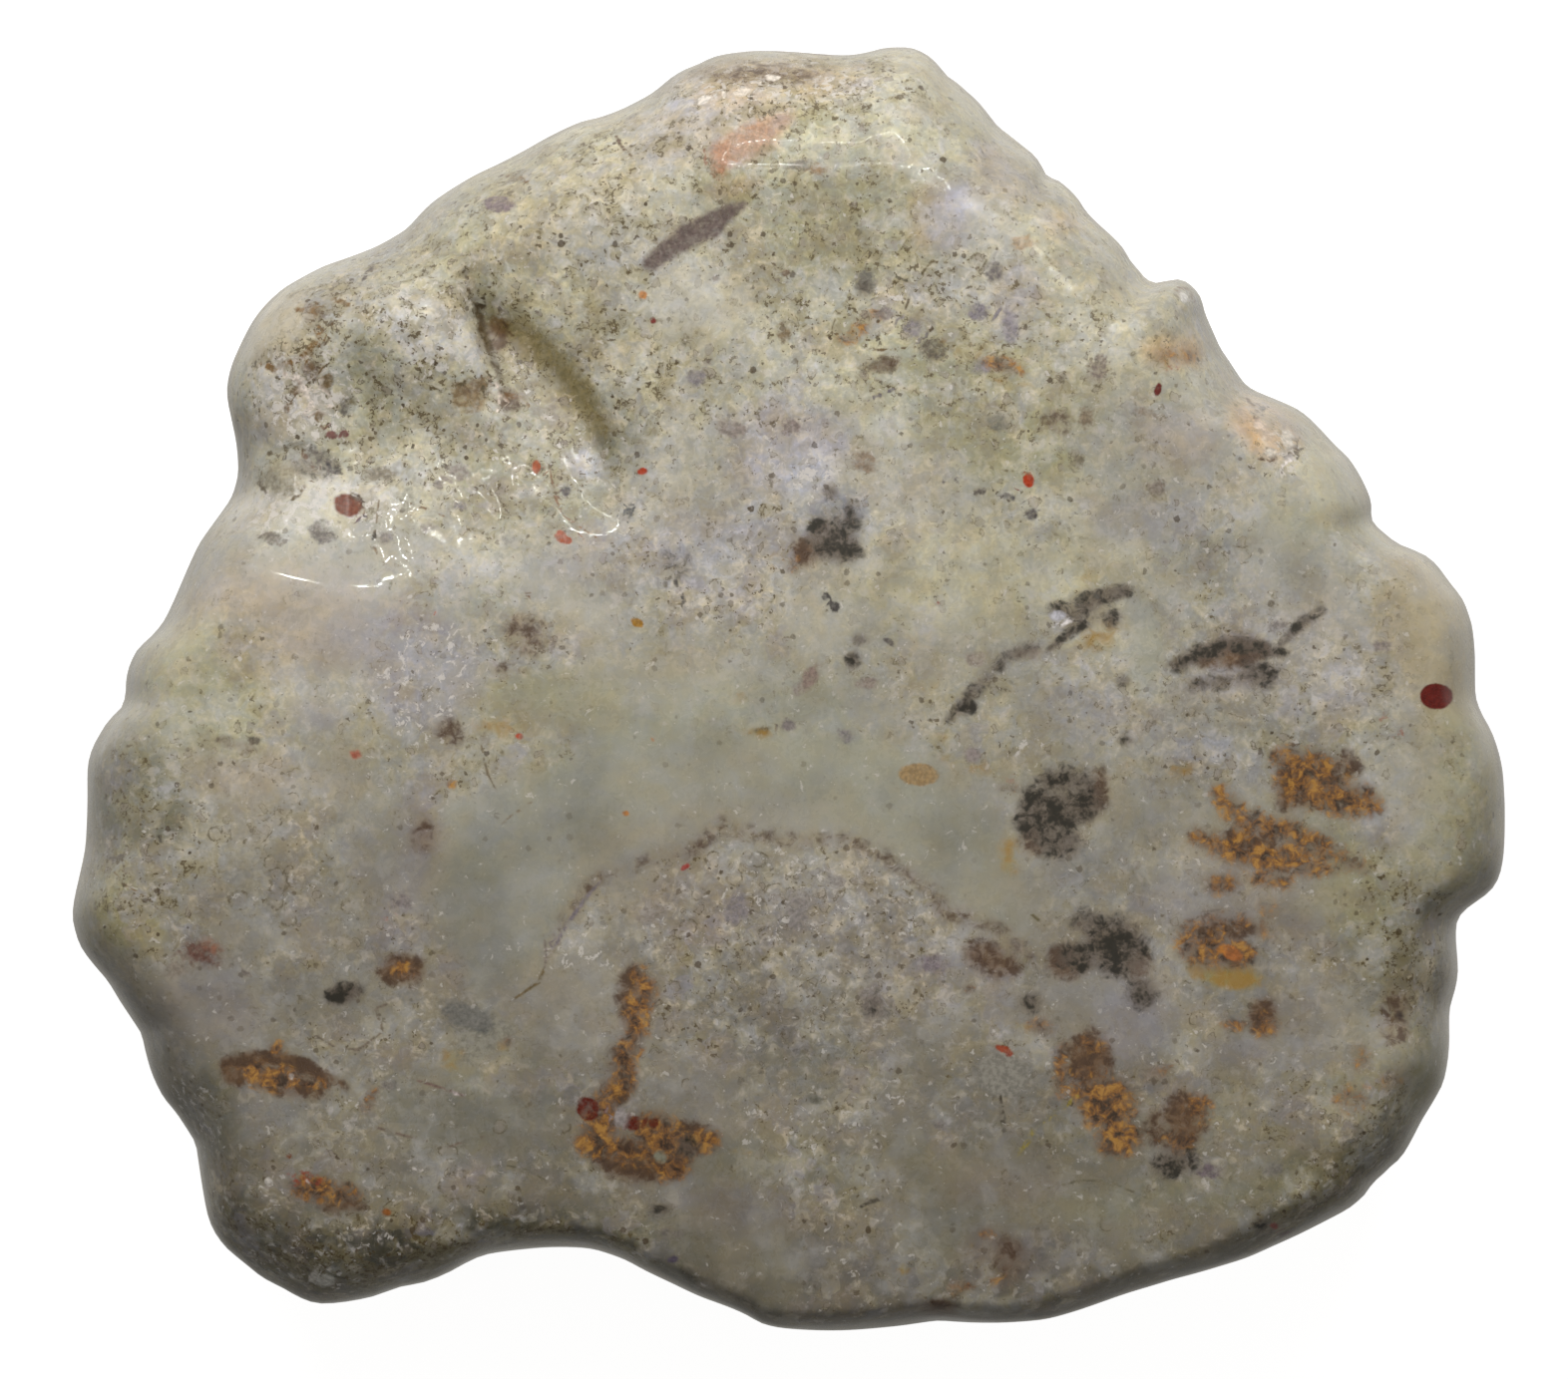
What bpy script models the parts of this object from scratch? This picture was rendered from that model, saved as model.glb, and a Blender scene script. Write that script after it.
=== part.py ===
"""A polished coprolite: one solid, flattened stone with a sawn, polished face
on top, softly scalloped rims, a worn hollow in one corner of the face, and a
domed underside that rests on a small flat spot.

Metres, +Z up. The origin is on the resting plane, under the middle of the
outline. +X and +Y run along the polished face.
"""
import math

import bmesh
import bpy
import numpy as np
from mathutils import Vector, noise

# ---------------------------------------------------------------- dimensions
PX = 0.042  # millimetres for one pixel of the reference view
MID_U, MID_V = 791.5, 689.0  # the pixel over the origin
RIM_Z = 8.6  # height of the widest line above the resting plane, mm
RIM_WAVE = 0.7  # how far that line wanders up and down, mm
FACE_CROWN = 1.3  # how far the middle of the face stands over its border, mm
UNDER_CROWN = 2.6  # the same on the underside, mm
FLAT_CUT = 0.45  # how much of the underside's dome the flat spot takes off, mm
SIDE_LUMPS = 0.55  # height of the low lumps on the sides and underside, mm
FACE_LUMPS = 0.07  # height of the undulations left on the polished face, mm
CELLS = 28  # divisions along each edge of the starting cube
FINEST = 24.0  # no crease is drawn narrower than this half width, in pixels
POLISH_SHOULDER = 2.15  # roundness exponent of the shoulder
UNDER_SHOULDER = 2.0

# The outline of the face, clockwise from the upper left, in pixels.
OUTLINE = [
    (600, 117), (620, 110), (635, 103), (650, 95), (660, 88), (672, 78), (685, 70), (700, 64),
    (715, 57), (735, 53), (760, 51), (790, 52), (820, 54), (850, 55), (870, 52), (885, 48),
    (900, 47), (915, 48), (930, 55), (940, 64), (950, 76), (960, 83), (970, 92), (980, 101),
    (990, 113), (1000, 126), (1010, 134), (1020, 142), (1030, 150), (1038, 157), (1045, 168),
    (1050, 177), (1060, 181), (1070, 189), (1080, 200), (1088, 213), (1100, 226), (1115, 240),
    (1125, 251), (1132, 263), (1140, 272), (1148, 281), (1158, 285), (1168, 283), (1178, 281),
    (1187, 283), (1196, 290), (1203, 300), (1207, 315), (1214, 332), (1222, 350), (1230, 362),
    (1240, 377), (1248, 387), (1258, 393), (1270, 398), (1285, 404), (1300, 411), (1312, 420),
    (1325, 433), (1340, 449), (1350, 458), (1361, 474), (1370, 492), (1374, 505), (1375, 522),
    (1386, 534), (1400, 545), (1412, 550), (1428, 557), (1440, 567), (1452, 583), (1465, 600),
    (1471, 615), (1475, 630), (1477, 655), (1477, 680), (1478, 700), (1484, 716), (1493, 732),
    (1500, 750), (1505, 770), (1507, 790), (1508, 810), (1508, 840), (1507, 860), (1504, 876),
    (1498, 889), (1488, 899), (1475, 908), (1466, 916), (1461, 925), (1460, 940), (1461, 955),
    (1462, 975), (1459, 993), (1454, 1010), (1453, 1025), (1453, 1045), (1451, 1065),
    (1446, 1085), (1437, 1102), (1425, 1122), (1416, 1140), (1408, 1155), (1401, 1164),
    (1394, 1170), (1386, 1178), (1376, 1187), (1370, 1196), (1362, 1204), (1350, 1213),
    (1325, 1226), (1300, 1238), (1275, 1249), (1250, 1260), (1225, 1268), (1200, 1275),
    (1175, 1281), (1150, 1288), (1125, 1295), (1100, 1303), (1075, 1311), (1050, 1318),
    (1030, 1321), (1005, 1323), (980, 1323), (960, 1322), (940, 1321), (925, 1323),
    (900, 1327), (870, 1330), (845, 1331), (815, 1331), (790, 1330), (775, 1328), (762, 1324),
    (752, 1318), (740, 1312), (725, 1306), (700, 1297), (675, 1286), (650, 1275), (630, 1265),
    (615, 1259), (595, 1253), (575, 1251), (550, 1251), (525, 1253), (500, 1256), (485, 1259),
    (470, 1265), (450, 1276), (425, 1286), (400, 1291), (375, 1300), (350, 1305), (330, 1307),
    (315, 1306), (300, 1300), (285, 1291), (265, 1280), (250, 1268), (240, 1260), (228, 1250),
    (217, 1236), (210, 1220), (206, 1200), (203, 1180), (200, 1160), (197, 1145), (188, 1130),
    (178, 1115), (166, 1100), (158, 1085), (152, 1070), (147, 1052), (143, 1036), (135, 1023),
    (122, 1003), (110, 983), (95, 965), (83, 948), (77, 930), (75, 917), (77, 900), (83, 875),
    (88, 850), (89, 825), (89, 800), (89, 770), (93, 752), (100, 738), (110, 722), (122, 710),
    (126, 697), (127, 680), (131, 665), (139, 650), (150, 640), (163, 625), (172, 608),
    (180, 590), (190, 567), (200, 546), (211, 530), (222, 515), (232, 500), (237, 485),
    (239, 470), (237, 445), (232, 420), (228, 400), (228, 385), (232, 367), (240, 348),
    (250, 328), (260, 313), (272, 300), (285, 289), (300, 280), (325, 267), (350, 258),
    (375, 248), (390, 240), (407, 229), (420, 215), (432, 203), (450, 190), (475, 175),
    (500, 163), (525, 150), (550, 136), (580, 122),
]

# Around the rim: a place on it in pixels, the width of the shoulder between
# the rim and the face, the face's height over the rim, the width of the
# underside's flank, and its depth under the rim, all in millimetres.
STATIONS = [
    (760, 51, 5.6, 7.6, 17.0, 6.0),
    (915, 48, 5.4, 7.6, 17.0, 6.0),
    (1050, 177, 3.6, 7.6, 16.0, 6.2),
    (1187, 283, 3.2, 7.7, 15.0, 6.2),
    (1325, 433, 3.4, 7.8, 15.5, 6.0),
    (1475, 630, 2.2, 7.9, 16.0, 5.9),
    (1508, 830, 2.1, 7.9, 17.0, 5.9),
    (1461, 940, 2.8, 7.9, 17.0, 6.0),
    (1446, 1085, 3.2, 8.0, 16.0, 6.2),
    (1350, 1213, 2.3, 8.1, 15.0, 6.2),
    (1150, 1288, 1.3, 8.2, 14.0, 6.2),
    (980, 1323, 1.2, 8.2, 14.0, 6.2),
    (815, 1331, 1.2, 8.2, 14.0, 6.2),
    (700, 1297, 1.2, 8.2, 13.0, 6.2),
    (550, 1251, 1.3, 8.1, 12.0, 6.2),
    (425, 1286, 2.8, 8.1, 14.0, 6.0),
    (315, 1306, 3.8, 8.0, 16.0, 5.8),
    (206, 1200, 3.0, 8.0, 16.0, 5.8),
    (143, 1036, 2.6, 7.9, 15.0, 5.9),
    (75, 917, 2.9, 7.8, 16.0, 5.9),
    (89, 780, 3.0, 7.7, 16.5, 5.9),
    (163, 625, 2.5, 7.5, 16.0, 5.9),
    (239, 470, 3.4, 7.2, 15.0, 6.0),
    (250, 328, 4.6, 7.0, 15.0, 6.0),
    (375, 248, 4.6, 7.0, 15.0, 6.1),
    (500, 163, 4.4, 7.3, 16.0, 6.1),
    (620, 110, 4.8, 7.5, 16.5, 6.0),
]

# The hollow in the corner of the face: soft discs (u, v, radius u, radius v,
# height in mm), added up. Negative discs are hollows and positive ones bumps.
DISCS = [
    (405, 452, 200, 118, -1.15),
    (300, 430, 110, 110, -0.55),
    (470, 330, 120, 95, -0.65),
    (425, 338, 68, 62, 1.05),
    (285, 322, 62, 62, 0.75),
    (465, 405, 52, 36, 0.30),
    (275, 478, 34, 30, 0.22),
    (350, 505, 70, 36, 0.18),
    (1180, 292, 26, 22, 0.35),
    (1400, 1085, 60, 55, 0.22),
    (545, 235, 70, 42, 0.14),
    (700, 232, 90, 40, -0.10),
    (870, 330, 120, 70, -0.14),
    (740, 980, 210, 150, 0.16),
    (300, 1150, 120, 60, 0.12),
]

# Creases: a polyline in pixels, its half width in pixels, its depth in mm.
CREASES = [
    ([(470, 284), (480, 312), (490, 342), (497, 372), (501, 400)], 11, 0.42),
    ([(486, 318), (512, 338), (548, 378), (590, 432), (612, 476)], 32, 0.60),
    ([(492, 322), (506, 340)], 15, 0.38),
    ([(352, 372), (366, 420), (368, 470), (352, 512)], 26, 0.16),
    ([(262, 452), (300, 458), (340, 474)], 12, 0.20),
    ([(1466, 922), (1432, 936), (1408, 965), (1400, 1015)], 26, 0.40),
    ([(1392, 1168), (1352, 1160), (1310, 1168)], 20, 0.26),
    ([(200, 1150), (232, 1170), (262, 1168)], 20, 0.22),
    ([(560, 1262), (548, 1228)], 34, 0.24),
]


# Shallow hollows in the underside, in the same form; positive goes into the stone.
UNDER_DISCS = [
    (1080, 400, 150, 120, 0.75),
    (420, 860, 110, 170, 0.60),
    (1160, 1010, 120, 90, 0.55),
    (660, 330, 90, 110, -0.45),
    (760, 1130, 140, 70, -0.40),
]


# ------------------------------------------------------------------- helpers
def to_mm(u, v):
    return (np.asarray(u, float) - MID_U) * PX, (MID_V - np.asarray(v, float)) * PX


def smooth(x):
    x = np.clip(x, 0.0, 1.0)
    return x * x * (3 - 2 * x)


def closed_spline(points, per_span):
    """Catmull-Rom through a closed list of points."""
    p = np.asarray(points, float)
    a, b, c, d = np.roll(p, 1, 0), p, np.roll(p, -1, 0), np.roll(p, -2, 0)
    rows = []
    for k in range(per_span):
        t = k / per_span
        rows.append(
            0.5
            * (
                2 * b
                + (c - a) * t
                + (2 * a - 5 * b + 4 * c - d) * t**2
                + (3 * b - a - 3 * c + d) * t**3
            )
        )
    return np.stack(rows, 1).reshape(-1, 2)


TURN = np.linspace(-math.pi, math.pi, 1441)


def around(angles, values):
    """Values at given angles, read at every angle in TURN, smoothly and periodically."""
    order = np.argsort(angles)
    a, v = np.asarray(angles)[order], np.asarray(values, float)[order]
    a = np.concatenate([a - 2 * math.pi, a, a + 2 * math.pi])
    return np.interp(TURN, a, np.concatenate([v, v, v]))


def blurred(values, degrees):
    """A periodic curve over TURN, blurred by a bell of that many degrees."""
    ring = values[:-1]
    n = len(ring)
    step = np.minimum(np.arange(n), n - np.arange(n)) * 360.0 / n
    bell = np.exp(-0.5 * (step / degrees) ** 2)
    out = np.fft.irfft(np.fft.rfft(ring) * np.fft.rfft(bell / bell.sum()), n)
    return np.append(out, out[0])


rim_x, rim_y = to_mm(*closed_spline(OUTLINE, 6).T)
RIM = around(np.arctan2(rim_y, rim_x), np.hypot(rim_x, rim_y))
RIM_SOFT = blurred(RIM, 9.0)
station_x, station_y = to_mm([s[0] for s in STATIONS], [s[1] for s in STATIONS])
station_angle = np.arctan2(station_y, station_x)
SHOULDER, RISE, FLANK, DEPTH = (
    blurred(around(station_angle, [s[k] for s in STATIONS]), 5.0) for k in (2, 3, 4, 5)
)
WANDER = RIM_WAVE * (
    0.6 * np.sin(2 * TURN + 0.7) + 0.4 * np.sin(3 * TURN - 1.1) + 0.25 * np.sin(7 * TURN + 2.0)
)


def quarter(x, power):
    """Height of a superellipse's quarter, 0 at x = 0 and 1 from x = 1."""
    x = np.clip(x, 0.0, 1.0)
    return (1 - (1 - x) ** power) ** (1 / power)


def section_table(steps=257):
    """For each angle, the section from the middle of the face over the rim to the
    middle of the underside, at even steps of its length: radius and height."""
    s = np.sin(np.linspace(0, math.pi / 2, 181))
    s = np.concatenate([s, s[-2::-1]])  # share of the rim's radius
    under = np.arange(len(s)) > 180
    keep = np.where(under, 0.78, 0.70)
    radius, height = np.empty((2, len(TURN), steps))
    for i in range(len(TURN)):
        reach = RIM_SOFT[i] + (RIM[i] - RIM_SOFT[i]) * smooth((s - keep) / (1 - keep))
        r = s * reach
        inward = RIM[i] - s * RIM[i]
        rise = RISE.mean() + (RISE[i] - RISE.mean()) * smooth(s)
        depth = DEPTH.mean() + (DEPTH[i] - DEPTH.mean()) * smooth(s)
        up = rise * quarter(inward / SHOULDER[i], POLISH_SHOULDER)
        up = up + FACE_CROWN * (1 - s**2) * smooth(inward / SHOULDER[i])
        down = depth * quarter(inward / FLANK[i], UNDER_SHOULDER)
        down = down + UNDER_CROWN * (1 - s**2)
        z = RIM_Z + WANDER[i] * smooth(s / 0.9) + np.where(under, -down, up)
        length = np.concatenate([[0], np.cumsum(np.hypot(np.diff(r), np.diff(z)))])
        at = np.linspace(0, length[-1], steps)
        radius[i], height[i] = np.interp(at, length, r), np.interp(at, length, z)
    return radius, height


def read_table(table, angle, share):
    """Bilinear read of a table over TURN and over 0 to 1."""
    i = (np.asarray(angle) + math.pi) / (2 * math.pi) * (len(TURN) - 1)
    j = np.clip(share, 0, 1) * (table.shape[1] - 1)
    i0 = np.clip(i.astype(int), 0, len(TURN) - 2)
    j0 = np.clip(j.astype(int), 0, table.shape[1] - 2)
    fi, fj = i - i0, j - j0
    return (
        table[i0, j0] * (1 - fi) * (1 - fj)
        + table[i0 + 1, j0] * fi * (1 - fj)
        + table[i0, j0 + 1] * (1 - fi) * fj
        + table[i0 + 1, j0 + 1] * fi * fj
    )


def along(points, u, v):
    """Distance in pixels from each (u, v) to a polyline."""
    best = np.full(np.shape(u), 1e9)
    for (ax, ay), (bx, by) in zip(points, points[1:]):
        dx, dy = bx - ax, by - ay
        t = np.clip(((u - ax) * dx + (v - ay) * dy) / (dx * dx + dy * dy), 0, 1)
        best = np.minimum(best, np.hypot(u - ax - t * dx, v - ay - t * dy))
    return best


def face_relief(x, y):
    """Height to add to the face at (x, y), in millimetres."""
    u, v = x / PX + MID_U, MID_V - y / PX
    out = np.zeros_like(u)
    for cu, cv, ru, rv, high in DISCS:
        out += high * np.exp(-(((u - cu) / ru) ** 2 + ((v - cv) / rv) ** 2) ** 1.25)
    for points, half, deep in CREASES:
        wide = max(half, FINEST)
        out -= deep * half / wide * np.exp(-((along(points, u, v) / wide) ** 2))
    return out


def under_relief(x, y):
    """Height to add to the underside at (x, y), in millimetres."""
    u, v = x / PX + MID_U, MID_V - y / PX
    out = np.zeros_like(u)
    for cu, cv, ru, rv, high in UNDER_DISCS:
        out += high * np.exp(-((u - cu) / ru) ** 2 - ((v - cv) / rv) ** 2)
    return out


def noise_at(points, scale, seed):
    shift = Vector((seed * 13.7, seed * 7.3, seed * 3.1))
    return np.array([noise.noise(Vector(p) / scale + shift) for p in points])


def stone_points(directions, crowd=1.0):
    """Where the points of a unit sphere go on the stone, in millimetres."""
    d = directions / np.linalg.norm(directions, axis=1)[:, None]
    angle = np.arctan2(d[:, 1], d[:, 0])
    part = np.arccos(np.clip(d[:, 2], -1, 1)) / math.pi
    part = crowd * part + (1 - crowd) * part**3
    radius_table, height_table = section_table()
    r = read_table(radius_table, angle, part)
    z = read_table(height_table, angle, part)
    x, y = r * np.cos(angle), r * np.sin(angle)
    rim_r = np.interp(angle, TURN, RIM)
    rim_z = RIM_Z + np.interp(angle, TURN, WANDER)
    points = np.stack([x, y, z], 1)
    lumps = 0.7 * noise_at(points, 9.0, 1) + 0.3 * noise_at(points, 4.2, 2)
    off = z - rim_z
    low = smooth(-off / 3.0)
    high = smooth(off / 3.0) * smooth((r / rim_r - 0.80) / 0.15)
    side = SIDE_LUMPS * lumps * (low + 0.5 * high) * smooth((r - 7.0) / 8.0)
    x = x + side * np.cos(angle) * smooth(r / 12.0)
    y = y + side * np.sin(angle) * smooth(r / 12.0)
    z = z - 0.8 * SIDE_LUMPS * lumps * low * smooth((r - 7.0) / 8.0)
    z = z + smooth(-off / 4.0) * smooth((r - 7.0) / 6.0) * under_relief(x, y)
    face = smooth(off / 5.0)
    z = z + face * (face_relief(x, y) + FACE_LUMPS * noise_at(points, 6.5, 3) * 2)
    return np.stack([x, y, z], 1)


# --------------------------------------------------------------------- build
for old in list(bpy.data.objects):
    bpy.data.objects.remove(old, do_unlink=True)

stone_collection = bpy.data.collections.new("coprolite_stone")
bpy.context.scene.collection.children.link(stone_collection)

bm = bmesh.new()
bmesh.ops.create_cube(bm, size=2.0)
bmesh.ops.subdivide_edges(bm, edges=bm.edges[:], cuts=CELLS - 1, use_grid_fill=True)
cube = np.array([v.co[:] for v in bm.verts])
points = stone_points(np.tan(cube * math.pi / 4))

# The flat spot: the bottom of the dome is ground off level.
floor = points[:, 2].min() + FLAT_CUT
points[:, 2] = np.maximum(points[:, 2], floor) - floor
for vert, point in zip(bm.verts, points):
    vert.co = Vector(point) * 0.001
bmesh.ops.recalc_face_normals(bm, faces=bm.faces[:])

mesh = bpy.data.meshes.new("coprolite")
bm.to_mesh(mesh)
bm.free()
mesh.shade_smooth()
stone = bpy.data.objects.new("coprolite", mesh)
stone_collection.objects.link(stone)

material = bpy.data.materials.new("polished_coprolite")
material.use_nodes = True
principled = material.node_tree.nodes["Principled BSDF"]
principled.inputs["Base Color"].default_value = (0.47, 0.45, 0.38, 1.0)
principled.inputs["Roughness"].default_value = 0.22
principled.inputs["Metallic"].default_value = 0.0
mesh.materials.append(material)
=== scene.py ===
"""A polished coprolite on a pale floor, seen from straight above.

The stone is one flattened piece with a polished, gently domed face, a scalloped
rim, a worn hollow with a crease in the upper left corner of the face, and a
domed underside. Its face is a mosaic: smooth grey-green chalcedony in an arch,
cream and lilac agate, olive stains, rust and ochre networks, charcoal clouds,
red jasper grains and ring-shaped sand grains.

Lengths are in millimetres until the mesh is made. (u, v) are pixels of the
camera's frame, 1572 by 1383, v down.
"""
import math
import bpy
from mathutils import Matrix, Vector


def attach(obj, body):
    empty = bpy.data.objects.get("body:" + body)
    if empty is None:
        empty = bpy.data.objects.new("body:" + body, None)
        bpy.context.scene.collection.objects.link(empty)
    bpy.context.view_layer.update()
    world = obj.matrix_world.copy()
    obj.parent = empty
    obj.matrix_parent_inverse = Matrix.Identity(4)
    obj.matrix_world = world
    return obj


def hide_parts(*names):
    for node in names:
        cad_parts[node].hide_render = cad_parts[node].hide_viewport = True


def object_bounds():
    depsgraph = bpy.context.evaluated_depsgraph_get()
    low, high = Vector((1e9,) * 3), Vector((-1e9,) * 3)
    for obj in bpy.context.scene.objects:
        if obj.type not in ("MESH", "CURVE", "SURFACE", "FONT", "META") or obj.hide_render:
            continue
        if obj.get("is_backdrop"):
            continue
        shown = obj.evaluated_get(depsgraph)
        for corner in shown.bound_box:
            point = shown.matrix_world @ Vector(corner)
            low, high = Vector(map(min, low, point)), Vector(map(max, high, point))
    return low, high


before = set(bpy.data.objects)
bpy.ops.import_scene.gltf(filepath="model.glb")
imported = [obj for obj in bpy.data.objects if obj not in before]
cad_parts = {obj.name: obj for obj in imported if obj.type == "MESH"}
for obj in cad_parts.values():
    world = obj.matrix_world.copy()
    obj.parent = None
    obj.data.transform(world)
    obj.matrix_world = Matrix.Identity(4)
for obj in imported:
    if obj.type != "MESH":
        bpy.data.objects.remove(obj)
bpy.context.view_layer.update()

import bmesh  # noqa: E402
import bpy  # noqa: E402
import numpy as np  # noqa: E402
from mathutils import Vector, noise  # noqa: E402

# ---------------------------------------------------------------- dimensions
PX = 0.042  # millimetres for one pixel, at the height of the rim
MID_U, MID_V = 791.5, 689.0  # the pixel over the origin
FRAME_W, FRAME_H = 1572, 1383
RIM_Z = 8.6
RIM_WAVE = 0.7
FACE_CROWN = 1.3
UNDER_CROWN = 2.6
FLAT_CUT = 0.45
SIDE_LUMPS = 0.55
FACE_LUMPS = 0.07
POLISH_SHOULDER = 2.15
UNDER_SHOULDER = 2.0
CELLS = 127  # divisions along each edge of the starting cube
FRONT_SHARE = 0.52  # share of the section's length in front of the rim
FRONT_CELLS = 0.68  # share of the mesh's rows given to it
CAMERA_HEIGHT = 520.0  # over the rim

# The outline of the face, clockwise from the upper left, in pixels.
OUTLINE = [
    (600, 117), (620, 110), (635, 103), (650, 95), (660, 88), (672, 78), (685, 70), (700, 64),
    (715, 57), (735, 53), (760, 51), (790, 52), (820, 54), (850, 55), (870, 52), (885, 48),
    (900, 47), (915, 48), (930, 55), (940, 64), (950, 76), (960, 83), (970, 92), (980, 101),
    (990, 113), (1000, 126), (1010, 134), (1020, 142), (1030, 150), (1038, 157), (1045, 168),
    (1050, 177), (1060, 181), (1070, 189), (1080, 200), (1088, 213), (1100, 226), (1115, 240),
    (1125, 251), (1132, 263), (1140, 272), (1148, 281), (1158, 285), (1168, 283), (1178, 281),
    (1187, 283), (1196, 290), (1203, 300), (1207, 315), (1214, 332), (1222, 350), (1230, 362),
    (1240, 377), (1248, 387), (1258, 393), (1270, 398), (1285, 404), (1300, 411), (1312, 420),
    (1325, 433), (1340, 449), (1350, 458), (1361, 474), (1370, 492), (1374, 505), (1375, 522),
    (1386, 534), (1400, 545), (1412, 550), (1428, 557), (1440, 567), (1452, 583), (1465, 600),
    (1471, 615), (1475, 630), (1477, 655), (1477, 680), (1478, 700), (1484, 716), (1493, 732),
    (1500, 750), (1505, 770), (1507, 790), (1508, 810), (1508, 840), (1507, 860), (1504, 876),
    (1498, 889), (1488, 899), (1475, 908), (1466, 916), (1461, 925), (1460, 940), (1461, 955),
    (1462, 975), (1459, 993), (1454, 1010), (1453, 1025), (1453, 1045), (1451, 1065),
    (1446, 1085), (1437, 1102), (1425, 1122), (1416, 1140), (1408, 1155), (1401, 1164),
    (1394, 1170), (1386, 1178), (1376, 1187), (1370, 1196), (1362, 1204), (1350, 1213),
    (1325, 1226), (1300, 1238), (1275, 1249), (1250, 1260), (1225, 1268), (1200, 1275),
    (1175, 1281), (1150, 1288), (1125, 1295), (1100, 1303), (1075, 1311), (1050, 1318),
    (1030, 1321), (1005, 1323), (980, 1323), (960, 1322), (940, 1321), (925, 1323),
    (900, 1327), (870, 1330), (845, 1331), (815, 1331), (790, 1330), (775, 1328), (762, 1324),
    (752, 1318), (740, 1312), (725, 1306), (700, 1297), (675, 1286), (650, 1275), (630, 1265),
    (615, 1259), (595, 1253), (575, 1251), (550, 1251), (525, 1253), (500, 1256), (485, 1259),
    (470, 1265), (450, 1276), (425, 1286), (400, 1291), (375, 1300), (350, 1305), (330, 1307),
    (315, 1306), (300, 1300), (285, 1291), (265, 1280), (250, 1268), (240, 1260), (228, 1250),
    (217, 1236), (210, 1220), (206, 1200), (203, 1180), (200, 1160), (197, 1145), (188, 1130),
    (178, 1115), (166, 1100), (158, 1085), (152, 1070), (147, 1052), (143, 1036), (135, 1023),
    (122, 1003), (110, 983), (95, 965), (83, 948), (77, 930), (75, 917), (77, 900), (83, 875),
    (88, 850), (89, 825), (89, 800), (89, 770), (93, 752), (100, 738), (110, 722), (122, 710),
    (126, 697), (127, 680), (131, 665), (139, 650), (150, 640), (163, 625), (172, 608),
    (180, 590), (190, 567), (200, 546), (211, 530), (222, 515), (232, 500), (237, 485),
    (239, 470), (237, 445), (232, 420), (228, 400), (228, 385), (232, 367), (240, 348),
    (250, 328), (260, 313), (272, 300), (285, 289), (300, 280), (325, 267), (350, 258),
    (375, 248), (390, 240), (407, 229), (420, 215), (432, 203), (450, 190), (475, 175),
    (500, 163), (525, 150), (550, 136), (580, 122),
]

# Around the rim: a place on it in pixels, the width of the shoulder between
# the rim and the face, the face's height over the rim, the width of the
# underside's flank, and its depth under the rim, all in millimetres.
STATIONS = [
    (760, 51, 5.6, 7.6, 17.0, 6.0),
    (915, 48, 5.4, 7.6, 17.0, 6.0),
    (1050, 177, 3.6, 7.6, 16.0, 6.2),
    (1187, 283, 3.2, 7.7, 15.0, 6.2),
    (1325, 433, 3.4, 7.8, 15.5, 6.0),
    (1475, 630, 2.2, 7.9, 16.0, 5.9),
    (1508, 830, 2.1, 7.9, 17.0, 5.9),
    (1461, 940, 2.8, 7.9, 17.0, 6.0),
    (1446, 1085, 3.2, 8.0, 16.0, 6.2),
    (1350, 1213, 2.3, 8.1, 15.0, 6.2),
    (1150, 1288, 1.3, 8.2, 14.0, 6.2),
    (980, 1323, 1.2, 8.2, 14.0, 6.2),
    (815, 1331, 1.2, 8.2, 14.0, 6.2),
    (700, 1297, 1.2, 8.2, 13.0, 6.2),
    (550, 1251, 1.3, 8.1, 12.0, 6.2),
    (425, 1286, 2.8, 8.1, 14.0, 6.0),
    (315, 1306, 3.8, 8.0, 16.0, 5.8),
    (206, 1200, 3.0, 8.0, 16.0, 5.8),
    (143, 1036, 2.6, 7.9, 15.0, 5.9),
    (75, 917, 2.9, 7.8, 16.0, 5.9),
    (89, 780, 3.0, 7.7, 16.5, 5.9),
    (163, 625, 2.5, 7.5, 16.0, 5.9),
    (239, 470, 3.4, 7.2, 15.0, 6.0),
    (250, 328, 4.6, 7.0, 15.0, 6.0),
    (375, 248, 4.6, 7.0, 15.0, 6.1),
    (500, 163, 4.4, 7.3, 16.0, 6.1),
    (620, 110, 4.8, 7.5, 16.5, 6.0),
]

# The hollow in the corner of the face: soft discs (u, v, radius u, radius v,
# height in mm), added up. Negative discs are hollows and positive ones bumps.
DISCS = [
    (405, 452, 200, 118, -1.15),
    (300, 430, 110, 110, -0.55),
    (470, 330, 120, 95, -0.65),
    (425, 338, 68, 62, 1.05),
    (285, 322, 62, 62, 0.75),
    (465, 405, 52, 36, 0.30),
    (275, 478, 34, 30, 0.22),
    (350, 505, 70, 36, 0.18),
    (1180, 292, 26, 22, 0.35),
    (1400, 1085, 60, 55, 0.22),
    (545, 235, 70, 42, 0.14),
    (700, 232, 90, 40, -0.10),
    (870, 330, 120, 70, -0.14),
    (740, 980, 210, 150, 0.16),
    (300, 1150, 120, 60, 0.12),
]

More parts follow.
